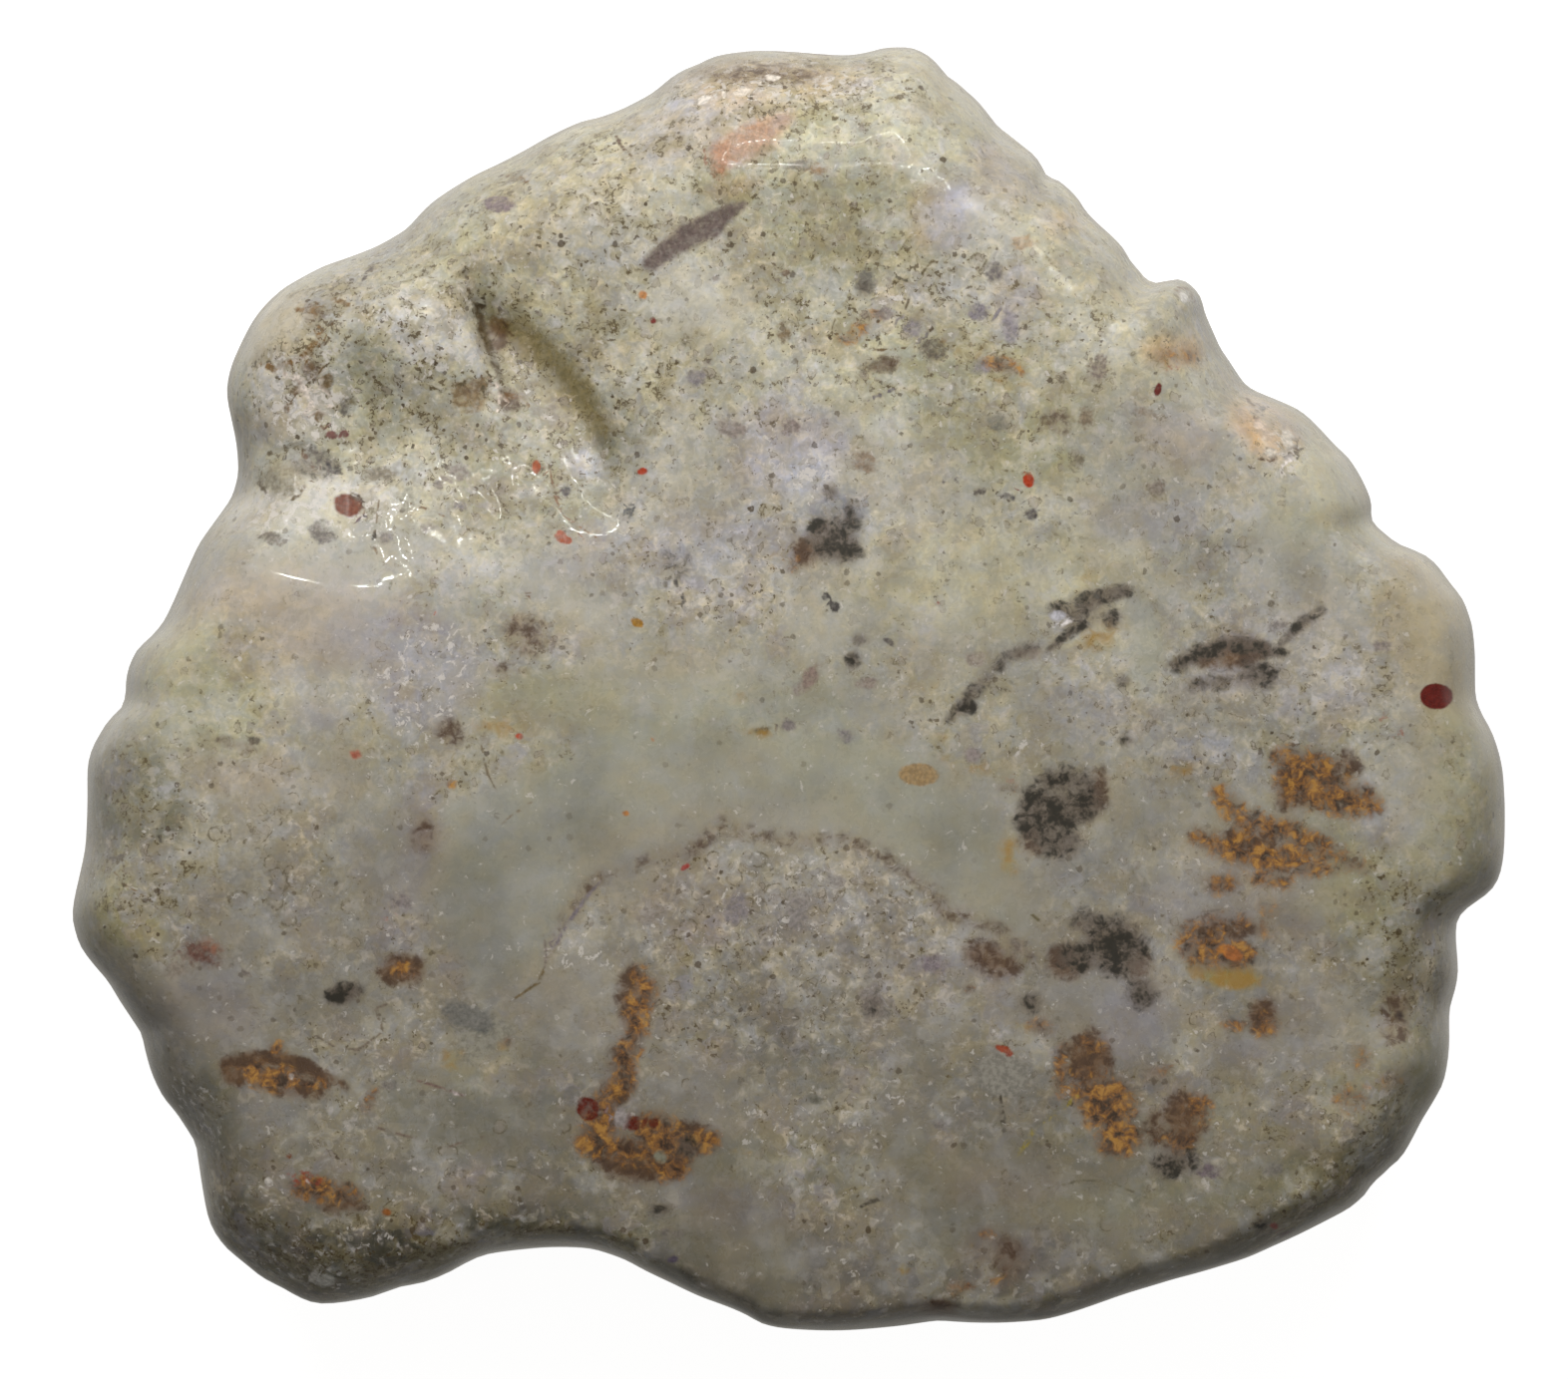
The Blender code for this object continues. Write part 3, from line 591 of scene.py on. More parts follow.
# How strongly each kind of fine marking shows, the same way: (kind, value,
# softness, shape). The kinds are grit (specks and rings), stain (olive and
# brown lines), crust (white flecks) and calm (smooth chalcedony).
GRIT, STAIN, CRUST, CALM = range(4)
DENSITY = [
    (GRIT, 0.62, 60, (800, 330, 520, 260, 0)),
    (GRIT, 0.34, 40, (300, 640, 160, 70, 0)),
    (GRIT, 0.55, 40, (200, 850, 110, 130, 0)),
    (GRIT, 0.75, 30, (790, 960, 170, 110, 0)),
    (GRIT, 0.70, 40, (1250, 700, 150, 90, 0)),
    (GRIT, 0.80, 20, (520, 650, 60, 40, 0)),
    (GRIT, 0.80, 20, (720, 600, 70, 34, 0)),
    (STAIN, 0.75, 50, (560, 300, 360, 170, -20)),
    (STAIN, 1.00, 20, (320, 350, 60, 70, 0)),
    (STAIN, 0.95, 20, (800, 90, 130, 40, 0)),
    (STAIN, 0.85, 30, (480, 410, 150, 110, 0)),
    (STAIN, 0.75, 30, (960, 330, 150, 90, 0)),
    (STAIN, 0.80, 30, (140, 850, 70, 110, 0)),
    (STAIN, 0.60, 30, (1350, 1150, 120, 80, 0)),
    (STAIN, 0.85, 20, (1410, 960, 50, 90, 0)),
    (STAIN, 0.60, 30, (220, 1160, 80, 100, 0)),
    (STAIN, 1.00, 24, [(210, 1190, 26), (270, 1262, 40), (340, 1270, 40), (430, 1250, 34), (520, 1236, 20), (640, 1256, 16)]),
    (GRIT, 0.90, 24, [(210, 1190, 26), (270, 1262, 40), (340, 1270, 40), (430, 1250, 34), (520, 1236, 20), (640, 1256, 16)]),
    (STAIN, 0.95, 20, [(1400, 1130, 20), (1330, 1190, 30), (1270, 1230, 20)]),
    (GRIT, 0.85, 20, [(1400, 1130, 20), (1330, 1190, 30), (1270, 1230, 20)]),
    (CRUST, 0.45, 16, (300, 1262, 60, 20, 0)),
    (CRUST, 0.85, 16, (305, 398, 56, 50, 0)),
    (CRUST, 0.85, 16, (320, 508, 80, 30, 0)),
    (CRUST, 0.70, 9, (590, 462, 22, 18, 0)),
    (CRUST, 0.60, 20, (430, 330, 60, 50, 0)),
    (CRUST, 0.80, 12, (892, 296, 26, 16, 0)),
    (CRUST, 0.80, 14, (816, 480, 26, 24, 0)),
    (CRUST, 0.90, 10, (1290, 456, 18, 18, 0)),
    (CRUST, 0.70, 16, (770, 84, 100, 26, 0)),
    (CRUST, 0.85, 10, (850, 84, 36, 16, 0)),
    (CRUST, 0.60, 16, (580, 956, 34, 16, 0)),
    (CRUST, 0.45, 30, (830, 900, 110, 60, 0)),
    (CRUST, 0.65, 12, (895, 1108, 18, 14, 0)),
    (CRUST, 0.55, 20, (430, 680, 60, 60, 0)),
    (CRUST, 0.60, 14, (190, 1098, 22, 22, 0)),
    (CRUST, 0.60, 14, (205, 1136, 16, 22, 0)),
    (CRUST, 0.50, 14, (1030, 745, 24, 20, 0)),
    (CRUST, 0.55, 14, (330, 1280, 24, 14, 0)),
    (CRUST, 0.50, 14, (268, 1194, 20, 18, 0)),
    (CRUST, 0.60, 8, (1076, 620, 14, 10, 0)),
    (CRUST, 0.40, 20, (800, 1130, 90, 30, 0)),
    (CALM, 1.00, 14, [(440, 800), (500, 780), (560, 770), (640, 720), (760, 730), (880, 735), (960, 770), (1020, 830), (1044, 900), (1046, 960), (1010, 936), (980, 925), (948, 914), (936, 890), (890, 860), (850, 840), (762, 838), (726, 824), (700, 850), (650, 862), (604, 878), (572, 912), (548, 955), (520, 995), (480, 1000), (440, 930)]),
    (CALM, 0.80, 30, (700, 700, 190, 50, 0)),
    (CALM, 0.90, 12, [(246, 340, 20), (278, 316, 26)]),
    (CALM, 0.80, 20, (1340, 490, 30, 40, -40)),
    (CALM, 0.80, 24, (1440, 630, 44, 80, 0)),
    (CALM, 0.85, 14, [(1496, 620, 16), (1500, 700, 18), (1502, 780, 16)]),
    (CALM, 0.85, 14, [(1310, 410, 12), (1368, 460, 14), (1386, 520, 14), (1440, 545, 14)]),
    (CALM, 0.85, 14, [(560, 128, 12), (470, 165, 12), (400, 222, 10), (330, 256, 12), (262, 290, 14), (234, 350, 12)]),
    (CALM, 0.85, 10, [(1144, 612, 16), (1150, 650, 20), (1150, 684, 10)]),
    (CALM, 0.75, 12, (944, 1244, 38, 30, 0)),
    (CALM, 0.55, 20, (980, 570, 110, 40, 0)),
    (CALM, 0.60, 12, (782, 1268, 24, 20, 0)),
    (CALM, 0.80, 8, (1006, 1078, 26, 24, 0)),
    (CALM, 0.70, 12, (320, 716, 30, 16, 0)),
    (CALM, 0.50, 20, (330, 678, 30, 30, 0)),
    (CALM, 0.55, 20, (1150, 1208, 90, 18, -6)),
    (CALM, 0.50, 20, (1310, 1020, 40, 60, 0)),
    (CALM, 0.75, 18, (474, 1124, 100, 42, 6)),
    (CALM, 0.70, 16, (700, 310, 60, 40, 0)),
    (CALM, 0.60, 20, (1180, 450, 60, 50, 0)),
]

# Clouds of mineral with ragged edges: (kind, weight, softness, shape).
COAL, BROWN, RUST, YELLOW, RED = range(5)
CLOUDS = [
    (COAL, 0.75, 7, (833, 493, 9, 7, 0)),
    (COAL, 0.95, 6, [(1128, 592, 6), (1104, 600, 8), (1088, 612, 6)]),
    (COAL, 0.95, 5, [(1086, 626, 3), (1068, 640, 3), (1052, 652, 2)]),
    (COAL, 0.60, 8, (1062, 612, 12, 9, 0)),
    (COAL, 0.65, 7, (1114, 622, 8, 10, 0)),
    (COAL, 0.60, 8, [(1034, 650, 6), (1012, 658, 6), (1000, 670, 6)]),
    (COAL, 0.65, 8, [(990, 680, 6), (974, 694, 6), (966, 708, 8), (952, 722, 4)]),
    (COAL, 0.75, 6, (968, 710, 12, 7, 0)),
    (COAL, 0.60, 6, (1128, 682, 7, 6, 0)),
    (COAL, 0.70, 6, (862, 642, 8, 6, 0)),
    (COAL, 0.75, 7, (855, 662, 8, 8, 0)),
    (COAL, 0.55, 8, (663, 1212, 13, 8, -10)),
    (COAL, 0.50, 8, (1266, 1228, 9, 10, 0)),
    (COAL, 0.45, 10, (1128, 742, 10, 8, 0)),
    (COAL, 0.55, 8, (1036, 1004, 12, 6, -16)),
    (COAL, 0.35, 14, (680, 565, 18, 18, 0)),
    (COAL, 0.45, 8, (312, 470, 26, 10, 20)),
    (COAL, 0.35, 8, (325, 536, 16, 7, 0)),
    (COAL, 0.45, 8, (866, 288, 9, 12, 0)),
    (COAL, 0.35, 12, (880, 1010, 14, 18, 0)),
    (BROWN, 0.60, 12, (1000, 968, 20, 10, 10)),
    (BROWN, 0.42, 14, (528, 636, 28, 20, 20)),
    (BROWN, 0.40, 12, (506, 672, 24, 8, 0)),
    (BROWN, 0.45, 12, (452, 736, 14, 16, 0)),
    (BROWN, 0.42, 12, (424, 838, 12, 16, 0)),
    (BROWN, 0.50, 9, (238, 746, 24, 5, 8)),
    (BROWN, 0.28, 10, (470, 390, 14, 8, 0)),
    (BROWN, 0.60, 8, (500, 336, 9, 14, -10)),
    (BROWN, 0.50, 10, (510, 400, 14, 12, 0)),
    (BROWN, 0.30, 10, (312, 372, 18, 12, 30)),
    (BROWN, 0.32, 8, (314, 312, 16, 10, 10)),
    (BROWN, 0.40, 14, (760, 74, 70, 12, 0)),
    (BROWN, 0.50, 8, (806, 554, 6, 12, 20)),
    (BROWN, 0.60, 8, (942, 1312, 17, 8, 0)),
    (BROWN, 0.40, 12, (1010, 1262, 14, 24, 0)),
    (BROWN, 0.45, 10, (885, 366, 20, 8, -10)),
    (BROWN, 0.35, 10, (1056, 425, 20, 14, 0)),
    (BROWN, 0.45, 9, (1032, 655, 14, 6, 0)),
    (BROWN, 0.42, 9, (1400, 1022, 16, 30, 0)),
    (RUST, 0.70, 8, (1040, 1026, 10, 5, 0)),
    (RUST, 0.50, 8, (1164, 1072, 14, 4, -20)),
    (RUST, 0.50, 7, (370, 1102, 6, 14, 30)),
    (RUST, 0.70, 5, (452, 784, 5, 5, 0)),
    (RUST, 0.55, 10, (858, 332, 22, 8, -30)),
    (RUST, 0.80, 8, (1008, 366, 20, 7, 10)),
    (RUST, 0.45, 9, (875, 318, 12, 8, 0)),
    (RUST, 0.50, 12, (1354, 1102, 18, 14, 0)),
    (RUST, 0.45, 10, (1364, 1062, 12, 14, 0)),
    (RUST, 0.40, 10, (1392, 1086, 16, 6, -14)),
    (RUST, 0.55, 8, (962, 1290, 14, 7, 0)),
    (RUST, 0.55, 7, (990, 1238, 8, 6, 0)),
    (RUST, 0.40, 8, (1000, 1284, 12, 6, 0)),
    (RUST, 0.55, 4, (510, 1044, 4, 6, 0)),
    (RUST, 0.60, 5, (972, 992, 5, 4, 0)),
    (RUST, 0.45, 7, (795, 566, 7, 9, 30)),
    (RUST, 0.45, 8, (1180, 356, 22, 8, -6)),
    (RUST, 0.40, 7, (1012, 790, 12, 5, 0)),
    (RUST, 0.35, 9, (1270, 912, 10, 12, 0)),
    (YELLOW, 0.70, 14, (1012, 858, 9, 24, 0)),
    (YELLOW, 0.60, 12, (456, 1062, 12, 14, 0)),
    (YELLOW, 0.55, 9, (506, 1052, 8, 8, 0)),
    (YELLOW, 0.55, 9, (1024, 1030, 14, 5, 0)),
    (YELLOW, 0.80, 6, (905, 1272, 6, 5, 0)),
    (YELLOW, 0.60, 5, (978, 1252, 5, 4, 0)),
    (YELLOW, 0.45, 12, (500, 728, 28, 12, 0)),
    (YELLOW, 0.60, 8, (762, 734, 12, 6, 0)),
    (YELLOW, 0.35, 10, (742, 715, 10, 24, 0)),
    (YELLOW, 0.50, 9, (934, 684, 10, 10, 0)),
    (YELLOW, 0.55, 8, (958, 764, 16, 6, 10)),
    (YELLOW, 0.40, 10, (986, 768, 20, 10, 0)),
    (YELLOW, 0.50, 12, (962, 350, 28, 9, 4)),
    (YELLOW, 0.45, 12, (1016, 384, 24, 8, 10)),
    (YELLOW, 0.45, 8, (748, 1156, 14, 5, 0)),
    (YELLOW, 0.45, 16, (1106, 636, 26, 16, -30)),
    (YELLOW, 0.60, 7, (1132, 766, 6, 5, 0)),
    (YELLOW, 0.60, 9, (1182, 770, 14, 7, 0)),
    (YELLOW, 0.40, 10, (940, 740, 14, 8, 0)),
    (YELLOW, 0.40, 12, (780, 562, 16, 10, -30)),
    (YELLOW, 0.35, 14, (1100, 580, 20, 10, 0)),
    (RED, 0.50, 8, (1402, 736, 6, 5, 0)),
    (RED, 0.45, 10, (1176, 368, 8, 6, 0)),
    (RED, 0.40, 8, (1012, 782, 8, 5, 0)),
    (RED, 0.35, 8, (1390, 720, 10, 5, 0)),
    (COAL, 1.00, 15, (838, 546, 25, 17, 12)),
    (COAL, 0.90, 9, (823, 532, 12, 10, 0)),
    (COAL, 0.55, 12, (852, 528, 11, 22, 0)),
    (BROWN, 0.85, 12, (808, 553, 14, 12, 0)),
    (COAL, 1.00, 16, (1044, 818, 23, 27, 0)),
    (COAL, 1.00, 14, (1066, 812, 20, 18, 0)),
    (COAL, 0.95, 13, (1088, 806, 15, 18, 0)),
    (COAL, 0.78, 14, (1062, 844, 22, 16, 0)),
    (COAL, 0.72, 12, (1068, 784, 28, 13, 0)),
    (BROWN, 0.60, 12, (1100, 792, 12, 22, 0)),
    (BROWN, 0.55, 12, (1034, 846, 12, 14, 0)),
    (COAL, 1.00, 18, (1118, 950, 32, 26, 20)),
    (COAL, 0.85, 14, (1082, 960, 22, 14, 0)),
    (COAL, 0.85, 12, (1146, 996, 14, 14, 0)),
    (COAL, 0.60, 12, (1090, 925, 18, 12, 0)),
    (BROWN, 0.85, 14, (1070, 964, 18, 16, 0)),
    (BROWN, 0.60, 12, (1142, 968, 12, 16, 0)),
    (RUST, 1.00, 18, (1316, 782, 36, 26, 20)),
    (RUST, 1.00, 14, (1352, 802, 34, 16, 10)),
    (RUST, 0.80, 12, (1292, 762, 18, 14, 0)),
    (BROWN, 0.90, 12, (1292, 790, 15, 22, 0)),
    (BROWN, 0.60, 12, (1348, 768, 18, 14, 0)),
    (RUST, 0.85, 14, [(1222, 798, 8), (1244, 822, 12), (1290, 836, 12), (1330, 852, 10), (1368, 872, 5)]),
    (RUST, 0.92, 14, [(1200, 838, 6), (1236, 852, 14), (1290, 864, 13), (1334, 872, 6)]),
    (RUST, 0.92, 10, (1226, 888, 17, 8, -14)),
    (RUST, 0.78, 10, (1272, 884, 24, 7, 6)),
    (BROWN, 0.70, 12, (1254, 844, 30, 12, 10)),
    (RUST, 0.85, 15, (1208, 948, 28, 22, 10)),
    (RUST, 0.98, 10, (1238, 956, 18, 13, 0)),
    (RUST, 0.60, 12, (1244, 928, 30, 9, 10)),
    (YELLOW, 0.90, 12, (1232, 980, 34, 12, 4)),
    (YELLOW, 0.60, 10, (1200, 972, 14, 12, 0)),
    (BROWN, 0.60, 14, (1222, 932, 34, 16, 0)),
    (BROWN, 0.80, 10, (1266, 1018, 13, 17, 0)),
    (RUST, 0.70, 9, (1268, 1030, 12, 14, 0)),
    (RUST, 0.60, 9, (1238, 1026, 14, 7, 0)),
    (BROWN, 0.95, 14, (1092, 1062, 22, 24, 0)),
    (RUST, 0.60, 10, (1094, 1048, 14, 8, 0)),
    (RUST, 1.00, 16, (1108, 1104, 33, 26, 30)),
    (RUST, 1.00, 12, (1122, 1140, 22, 17, 0)),
    (RUST, 0.70, 9, (1064, 1072, 8, 28, 0)),
    (RUST, 0.60, 8, (1042, 1030, 12, 6, 0)),
    (BROWN, 0.95, 13, (1188, 1122, 22, 26, 0)),
    (RUST, 0.90, 10, (1178, 1146, 17, 10, 10)),
    (RUST, 0.75, 10, (1202, 1112, 13, 17, 0)),
    (COAL, 0.70, 13, (1176, 1166, 24, 14, 0)),
    (BROWN, 0.55, 12, (1160, 1130, 14, 20, 0)),
    (RUST, 0.50, 8, (1162, 1074, 14, 5, -20)),
    (RUST, 0.92, 12, [(642, 978, 8), (648, 996, 12), (636, 1016, 11), (640, 1036, 10), (628, 1060, 12), (622, 1086, 13), (606, 1104, 10)]),
    (RUST, 1.00, 12, (600, 1138, 17, 24, 20)),
    (RUST, 1.00, 12, (626, 1154, 26, 12, 10)),
    (RUST, 1.00, 12, (660, 1138, 27, 18, 30)),
    (RUST, 0.98, 12, (672, 1168, 19, 14, 0)),
    (RUST, 0.85, 10, (704, 1144, 17, 12, 0)),
    (BROWN, 0.85, 12, (644, 1162, 48, 20, 0)),
    (BROWN, 0.80, 12, (692, 1142, 24, 15, 0)),
    (BROWN, 0.65, 12, (634, 1000, 15, 34, 0)),
    (BROWN, 0.60, 12, (622, 1076, 14, 30, 0)),
    (COAL, 0.55, 12, (686, 1150, 14, 12, 0)),
    (RUST, 0.95, 10, (316, 1192, 23, 11, 0)),
    (RUST, 0.85, 10, (348, 1197, 17, 10, 0)),
    (RED, 0.60, 10, (306, 1184, 20, 8, 0)),
    (BROWN, 0.70, 10, (342, 1208, 24, 9, 0)),
    (BROWN, 1.00, 6, [(226, 1070, 5), (250, 1064, 7), (276, 1063, 8), (302, 1070, 8), (324, 1080, 5), (346, 1087, 2)]),
    (BROWN, 0.95, 7, (234, 1077, 13, 11, 20)),
    (BROWN, 0.80, 8, (300, 1094, 30, 6, 4)),
    (RUST, 1.00, 8, (270, 1081, 32, 12, 6)),
    (RUST, 0.85, 7, (308, 1087, 22, 7, 6)),
    (RUST, 0.70, 7, (277, 1052, 9, 8, 0)),
    (BROWN, 0.95, 11, (404, 974, 24, 14, 0)),
    (RUST, 0.95, 6, (406, 974, 12, 6, 0)),
    (COAL, 1.00, 8, (345, 996, 18, 9, -14)),
    (COAL, 0.95, 8, [(1180, 667, 6), (1204, 655, 7), (1232, 645, 8), (1262, 648, 7), (1288, 656, 4)]),
    (BROWN, 0.85, 11, (1236, 656, 38, 13, -8)),
    (COAL, 0.75, 11, (1262, 676, 19, 15, 0)),
    (COAL, 0.85, 6, [(1284, 648, 3), (1304, 628, 5), (1326, 610, 2)]),
    (COAL, 0.60, 9, (1214, 686, 24, 8, -8)),
    (COAL, 0.60, 14, (1086, 612, 28, 14, -30)),
    (BROWN, 0.29, 9, [(548, 962, 5), (570, 915, 7), (600, 880, 7), (650, 862, 8), (700, 850, 9), (726, 826, 10), (762, 840, 9), (850, 842, 9), (890, 862, 9), (936, 892, 9), (948, 916, 9), (982, 926, 8), (1012, 936, 8), (1030, 956, 7)]),
    (BROWN, 0.62, 12, (994, 962, 30, 16, 20)),
    (COAL, 0.60, 9, (1034, 1006, 12, 9, 0)),
]

# Grains and lines with clear edges: (colour, softness, roughness, shape). The
# second list is drawn over the first.
BRICK = tone(138, 44, 24)
JASPER = tone(176, 62, 30)
MAROON = tone(104, 40, 34)
SOOT = tone(84, 80, 78)
UMBER = tone(104, 86, 58)
SPOTS = [
    (tone(150, 147, 134), 6, 2, [(470, 1052, 16), (500, 1036, 14)]),
    (tone(150, 147, 138), 3, 0.6, (1006, 1078, 26, 22, 6)),
    (tone(166, 158, 136), 5, 2, (284, 480, 19, 17, 0)),
    (tone(146, 126, 94), 6, 3, (469, 398, 17, 15, 0)),
    # The valley's deepest pit and its wall: olive-brown stain, partly painted shade where the wall faces away from the
    # light.
    (tone(112, 90, 50), 5, 3, (501, 327, 12, 9, 30)),
    (tone(136, 124, 84), 13, 3, [(514, 331, 8), (541, 343, 9), (566, 368, 9), (582, 388, 8), (604, 430, 7)]),
    (tone(150, 148, 138), 3, 2, (320, 526, 7, 6, 0)),
    (tone(122, 116, 112), 3, 3, (323, 537, 8, 6, 0)),
    (tone(138, 130, 126), 3, 2, (386, 540, 8, 6, 0)),
    (tone(134, 126, 120), 3, 2, (461, 505, 6, 4, 0)),
    (tone(158, 150, 144), 3, 2, (430, 529, 6, 5, 0)),
    (tone(150, 140, 130), 3, 2, (441, 487, 5, 4, 0)),
    (tone(166, 164, 148), 3, 2, (409, 501, 7, 12, 10)),
    (tone(160, 158, 150), 3, 2, (511, 540, 7, 7, 0)),
    (tone(180, 132, 98), 6, 3, (722, 160, 9, 17, 0)),
    (tone(186, 148, 120), 8, 3, (752, 138, 22, 14, -30)),
    (tone(120, 112, 88), 3, 2, (349, 406, 7, 5, -40)),
    (tone(124, 118, 112), 5, 4, [(312, 452, 5), (324, 460, 7), (336, 470, 5)]),
    (tone(108, 94, 90), 4, 1.1, [(652, 264, 8), (668, 252, 10), (690, 236, 12), (712, 226, 13), (732, 212, 7), (746, 206, 3)]),
    (tone(112, 82, 72), 6, 3, (203, 956, 18, 12, 24)),
    (tone(150, 108, 88), 6, 3, (208, 950, 12, 8, 24)),
    (tone(150, 140, 128), 5, 2, (176, 972, 12, 8, -20)),
    (tone(124, 123, 118), 7, 3, (470, 1020, 34, 11, 22)),
    (tone(98, 100, 98), 6, 3, (488, 1034, 17, 9, 24)),
    (tone(116, 110, 110), 4, 2, (996, 272, 8, 10, 0)),
    (tone(132, 126, 134), 4, 3, (980, 312, 12, 8, 0)),
    (tone(140, 134, 142), 4, 2, (1013, 328, 8, 16, -8)),
    (tone(104, 96, 82), 4, 3, (936, 350, 13, 11, 0)),
    (tone(122, 120, 112), 4, 3, (868, 282, 10, 12, 0)),
    (tone(120, 112, 92), 4, 4, (884, 366, 18, 8, -10)),
    (tone(130, 128, 116), 4, 2, (1000, 424, 10, 8, 0)),
    (tone(136, 124, 116), 4, 4, (1101, 368, 9, 12, 10)),
    (tone(140, 126, 106), 4, 3, (1089, 418, 7, 9, 0)),
    (tone(132, 124, 106), 3, 3, (1080, 464, 6, 8, 30)),
    (tone(142, 136, 140), 3, 2, (985, 368, 9, 7, 0)),
    (tone(138, 132, 136), 3, 2, (698, 379, 9, 8, 0)),
    (tone(136, 120, 94), 4, 3, (786, 334, 6, 9, 0)),
    (tone(148, 138, 132), 4, 3, (735, 430, 14, 9, 10)),
    (tone(140, 128, 124), 3, 3, (793, 428, 9, 8, 0)),
    (tone(152, 136, 118), 4, 4, (866, 464, 12, 10, 0)),
    (tone(142, 136, 140), 4, 2, (914, 330, 8, 8, 0)),
    (tone(150, 142, 138), 3, 2, (886, 314, 9, 7, 0)),
    (tone(146, 128, 120), 4, 2, (811, 680, 7, 13, 32)),
    (tone(142, 132, 128), 3, 2, (800, 692, 5, 4, 0)),
    (tone(166, 140, 100), 2, 1, (921, 777, 20, 11.5, 6)),
    (tone(150, 140, 138), 2.5, 1, (975, 757, 8, 7.5, 0)),
    (tone(158, 148, 138), 3, 2, (978, 662, 9, 8, 0)),
    (tone(126, 118, 118), 3, 2, (790, 727, 7, 6, 0)),
    (tone(120, 104, 76), 3, 2, (765, 732, 7, 4, 0)),
    (tone(134, 128, 130), 3, 2, (847, 738, 8, 6, 30)),
    (tone(146, 138, 132), 9, 4, (874, 1006, 12, 20, 0)),
    (tone(150, 138, 130), 4, 3, (868, 686, 12, 5, 0)),
    (tone(130, 124, 112), 4, 3, (800, 164, 14, 5, 0)),
    (tone(150, 120, 84), 4, 3, (820, 170, 8, 5, 0)),
    (tone(172, 148, 116), 3, 2, (1026, 243, 13, 7, 0)),
    (tone(158, 146, 132), 4, 3, (1150, 414, 12, 4, 20)),
    (tone(140, 128, 118), 4, 3, (1160, 490, 8, 7, 0)),
    (tone(140, 134, 132), 4, 3, (1282, 628, 8, 7, 30)),
    (tone(150, 140, 136), 4, 3, (1386, 648, 9, 5, 0)),
    (tone(134, 130, 122), 4, 3, (1276, 1173, 9, 7, 0)),
    (tone(124, 112, 118), 4, 3, (1212, 1175, 10, 7, 0)),
    (tone(128, 122, 112), 3, 2, (1036, 1156, 6, 5, 0)),
    (tone(146, 136, 130), 4, 2, (460, 474, 12, 8, 0)),
    (tone(142, 134, 136), 3, 2, (430, 529, 6, 4, 0)),
    (tone(140, 134, 138), 3, 2, (388, 540, 8, 5, 0)),
    (tone(142, 136, 138), 3, 2, (511, 540, 7, 7, 0)),
    (tone(134, 126, 126), 3, 2, (440, 486, 5, 3, 0)),
    (tone(134, 128, 132), 3, 2, (462, 508, 7, 4, 0)),
    (tone(124, 116, 106), 3, 3, (272, 540, 12, 6, 20)),
    (tone(126, 118, 112), 3, 3, (318, 528, 9, 5, -20)),
    (tone(118, 112, 112), 3, 3, (327, 540, 10, 5, -10)),
    (tone(112, 108, 100), 3, 3, (346, 408, 6, 9, 30)),
    (tone(146, 140, 122), 5, 4, (282, 482, 20, 16, 0)),
    (tone(140, 132, 116), 5, 4, (380, 476, 14, 8, 0)),
    (tone(126, 104, 74), 3, 3, (476, 384, 14, 5, -20)),
    (tone(116, 110, 96), 3, 2, (255, 742, 6, 4, 0)),
    (tone(140, 132, 132), 5, 3, (402, 906, 10, 8, 0)),
    (tone(150, 142, 134), 4, 3, (648, 918, 9, 7, 0)),
    (tone(150, 144, 140), 4, 2, (838, 884, 8, 7, 0)),
    (tone(136, 126, 132), 6, 3, (934, 968, 14, 9, 0)),
    (tone(142, 136, 140), 4, 2, (738, 912, 12, 16, 10)),
    (tone(146, 140, 138), 5, 2, (800, 912, 12, 20, 0)),
    (tone(134, 128, 122), 4, 3, (390, 1088, 8, 5, 0)),
    (tone(118, 116, 104), 3, 2, (818, 1102, 7, 5, 0)),
    (tone(130, 124, 122), 3, 2, (942, 1128, 6, 5, 0)),
    (tone(124, 118, 112), 4, 2, (668, 1236, 5, 4, 0)),
    (tone(124, 118, 112), 4, 2, (680, 1238, 5, 4, 0)),
]
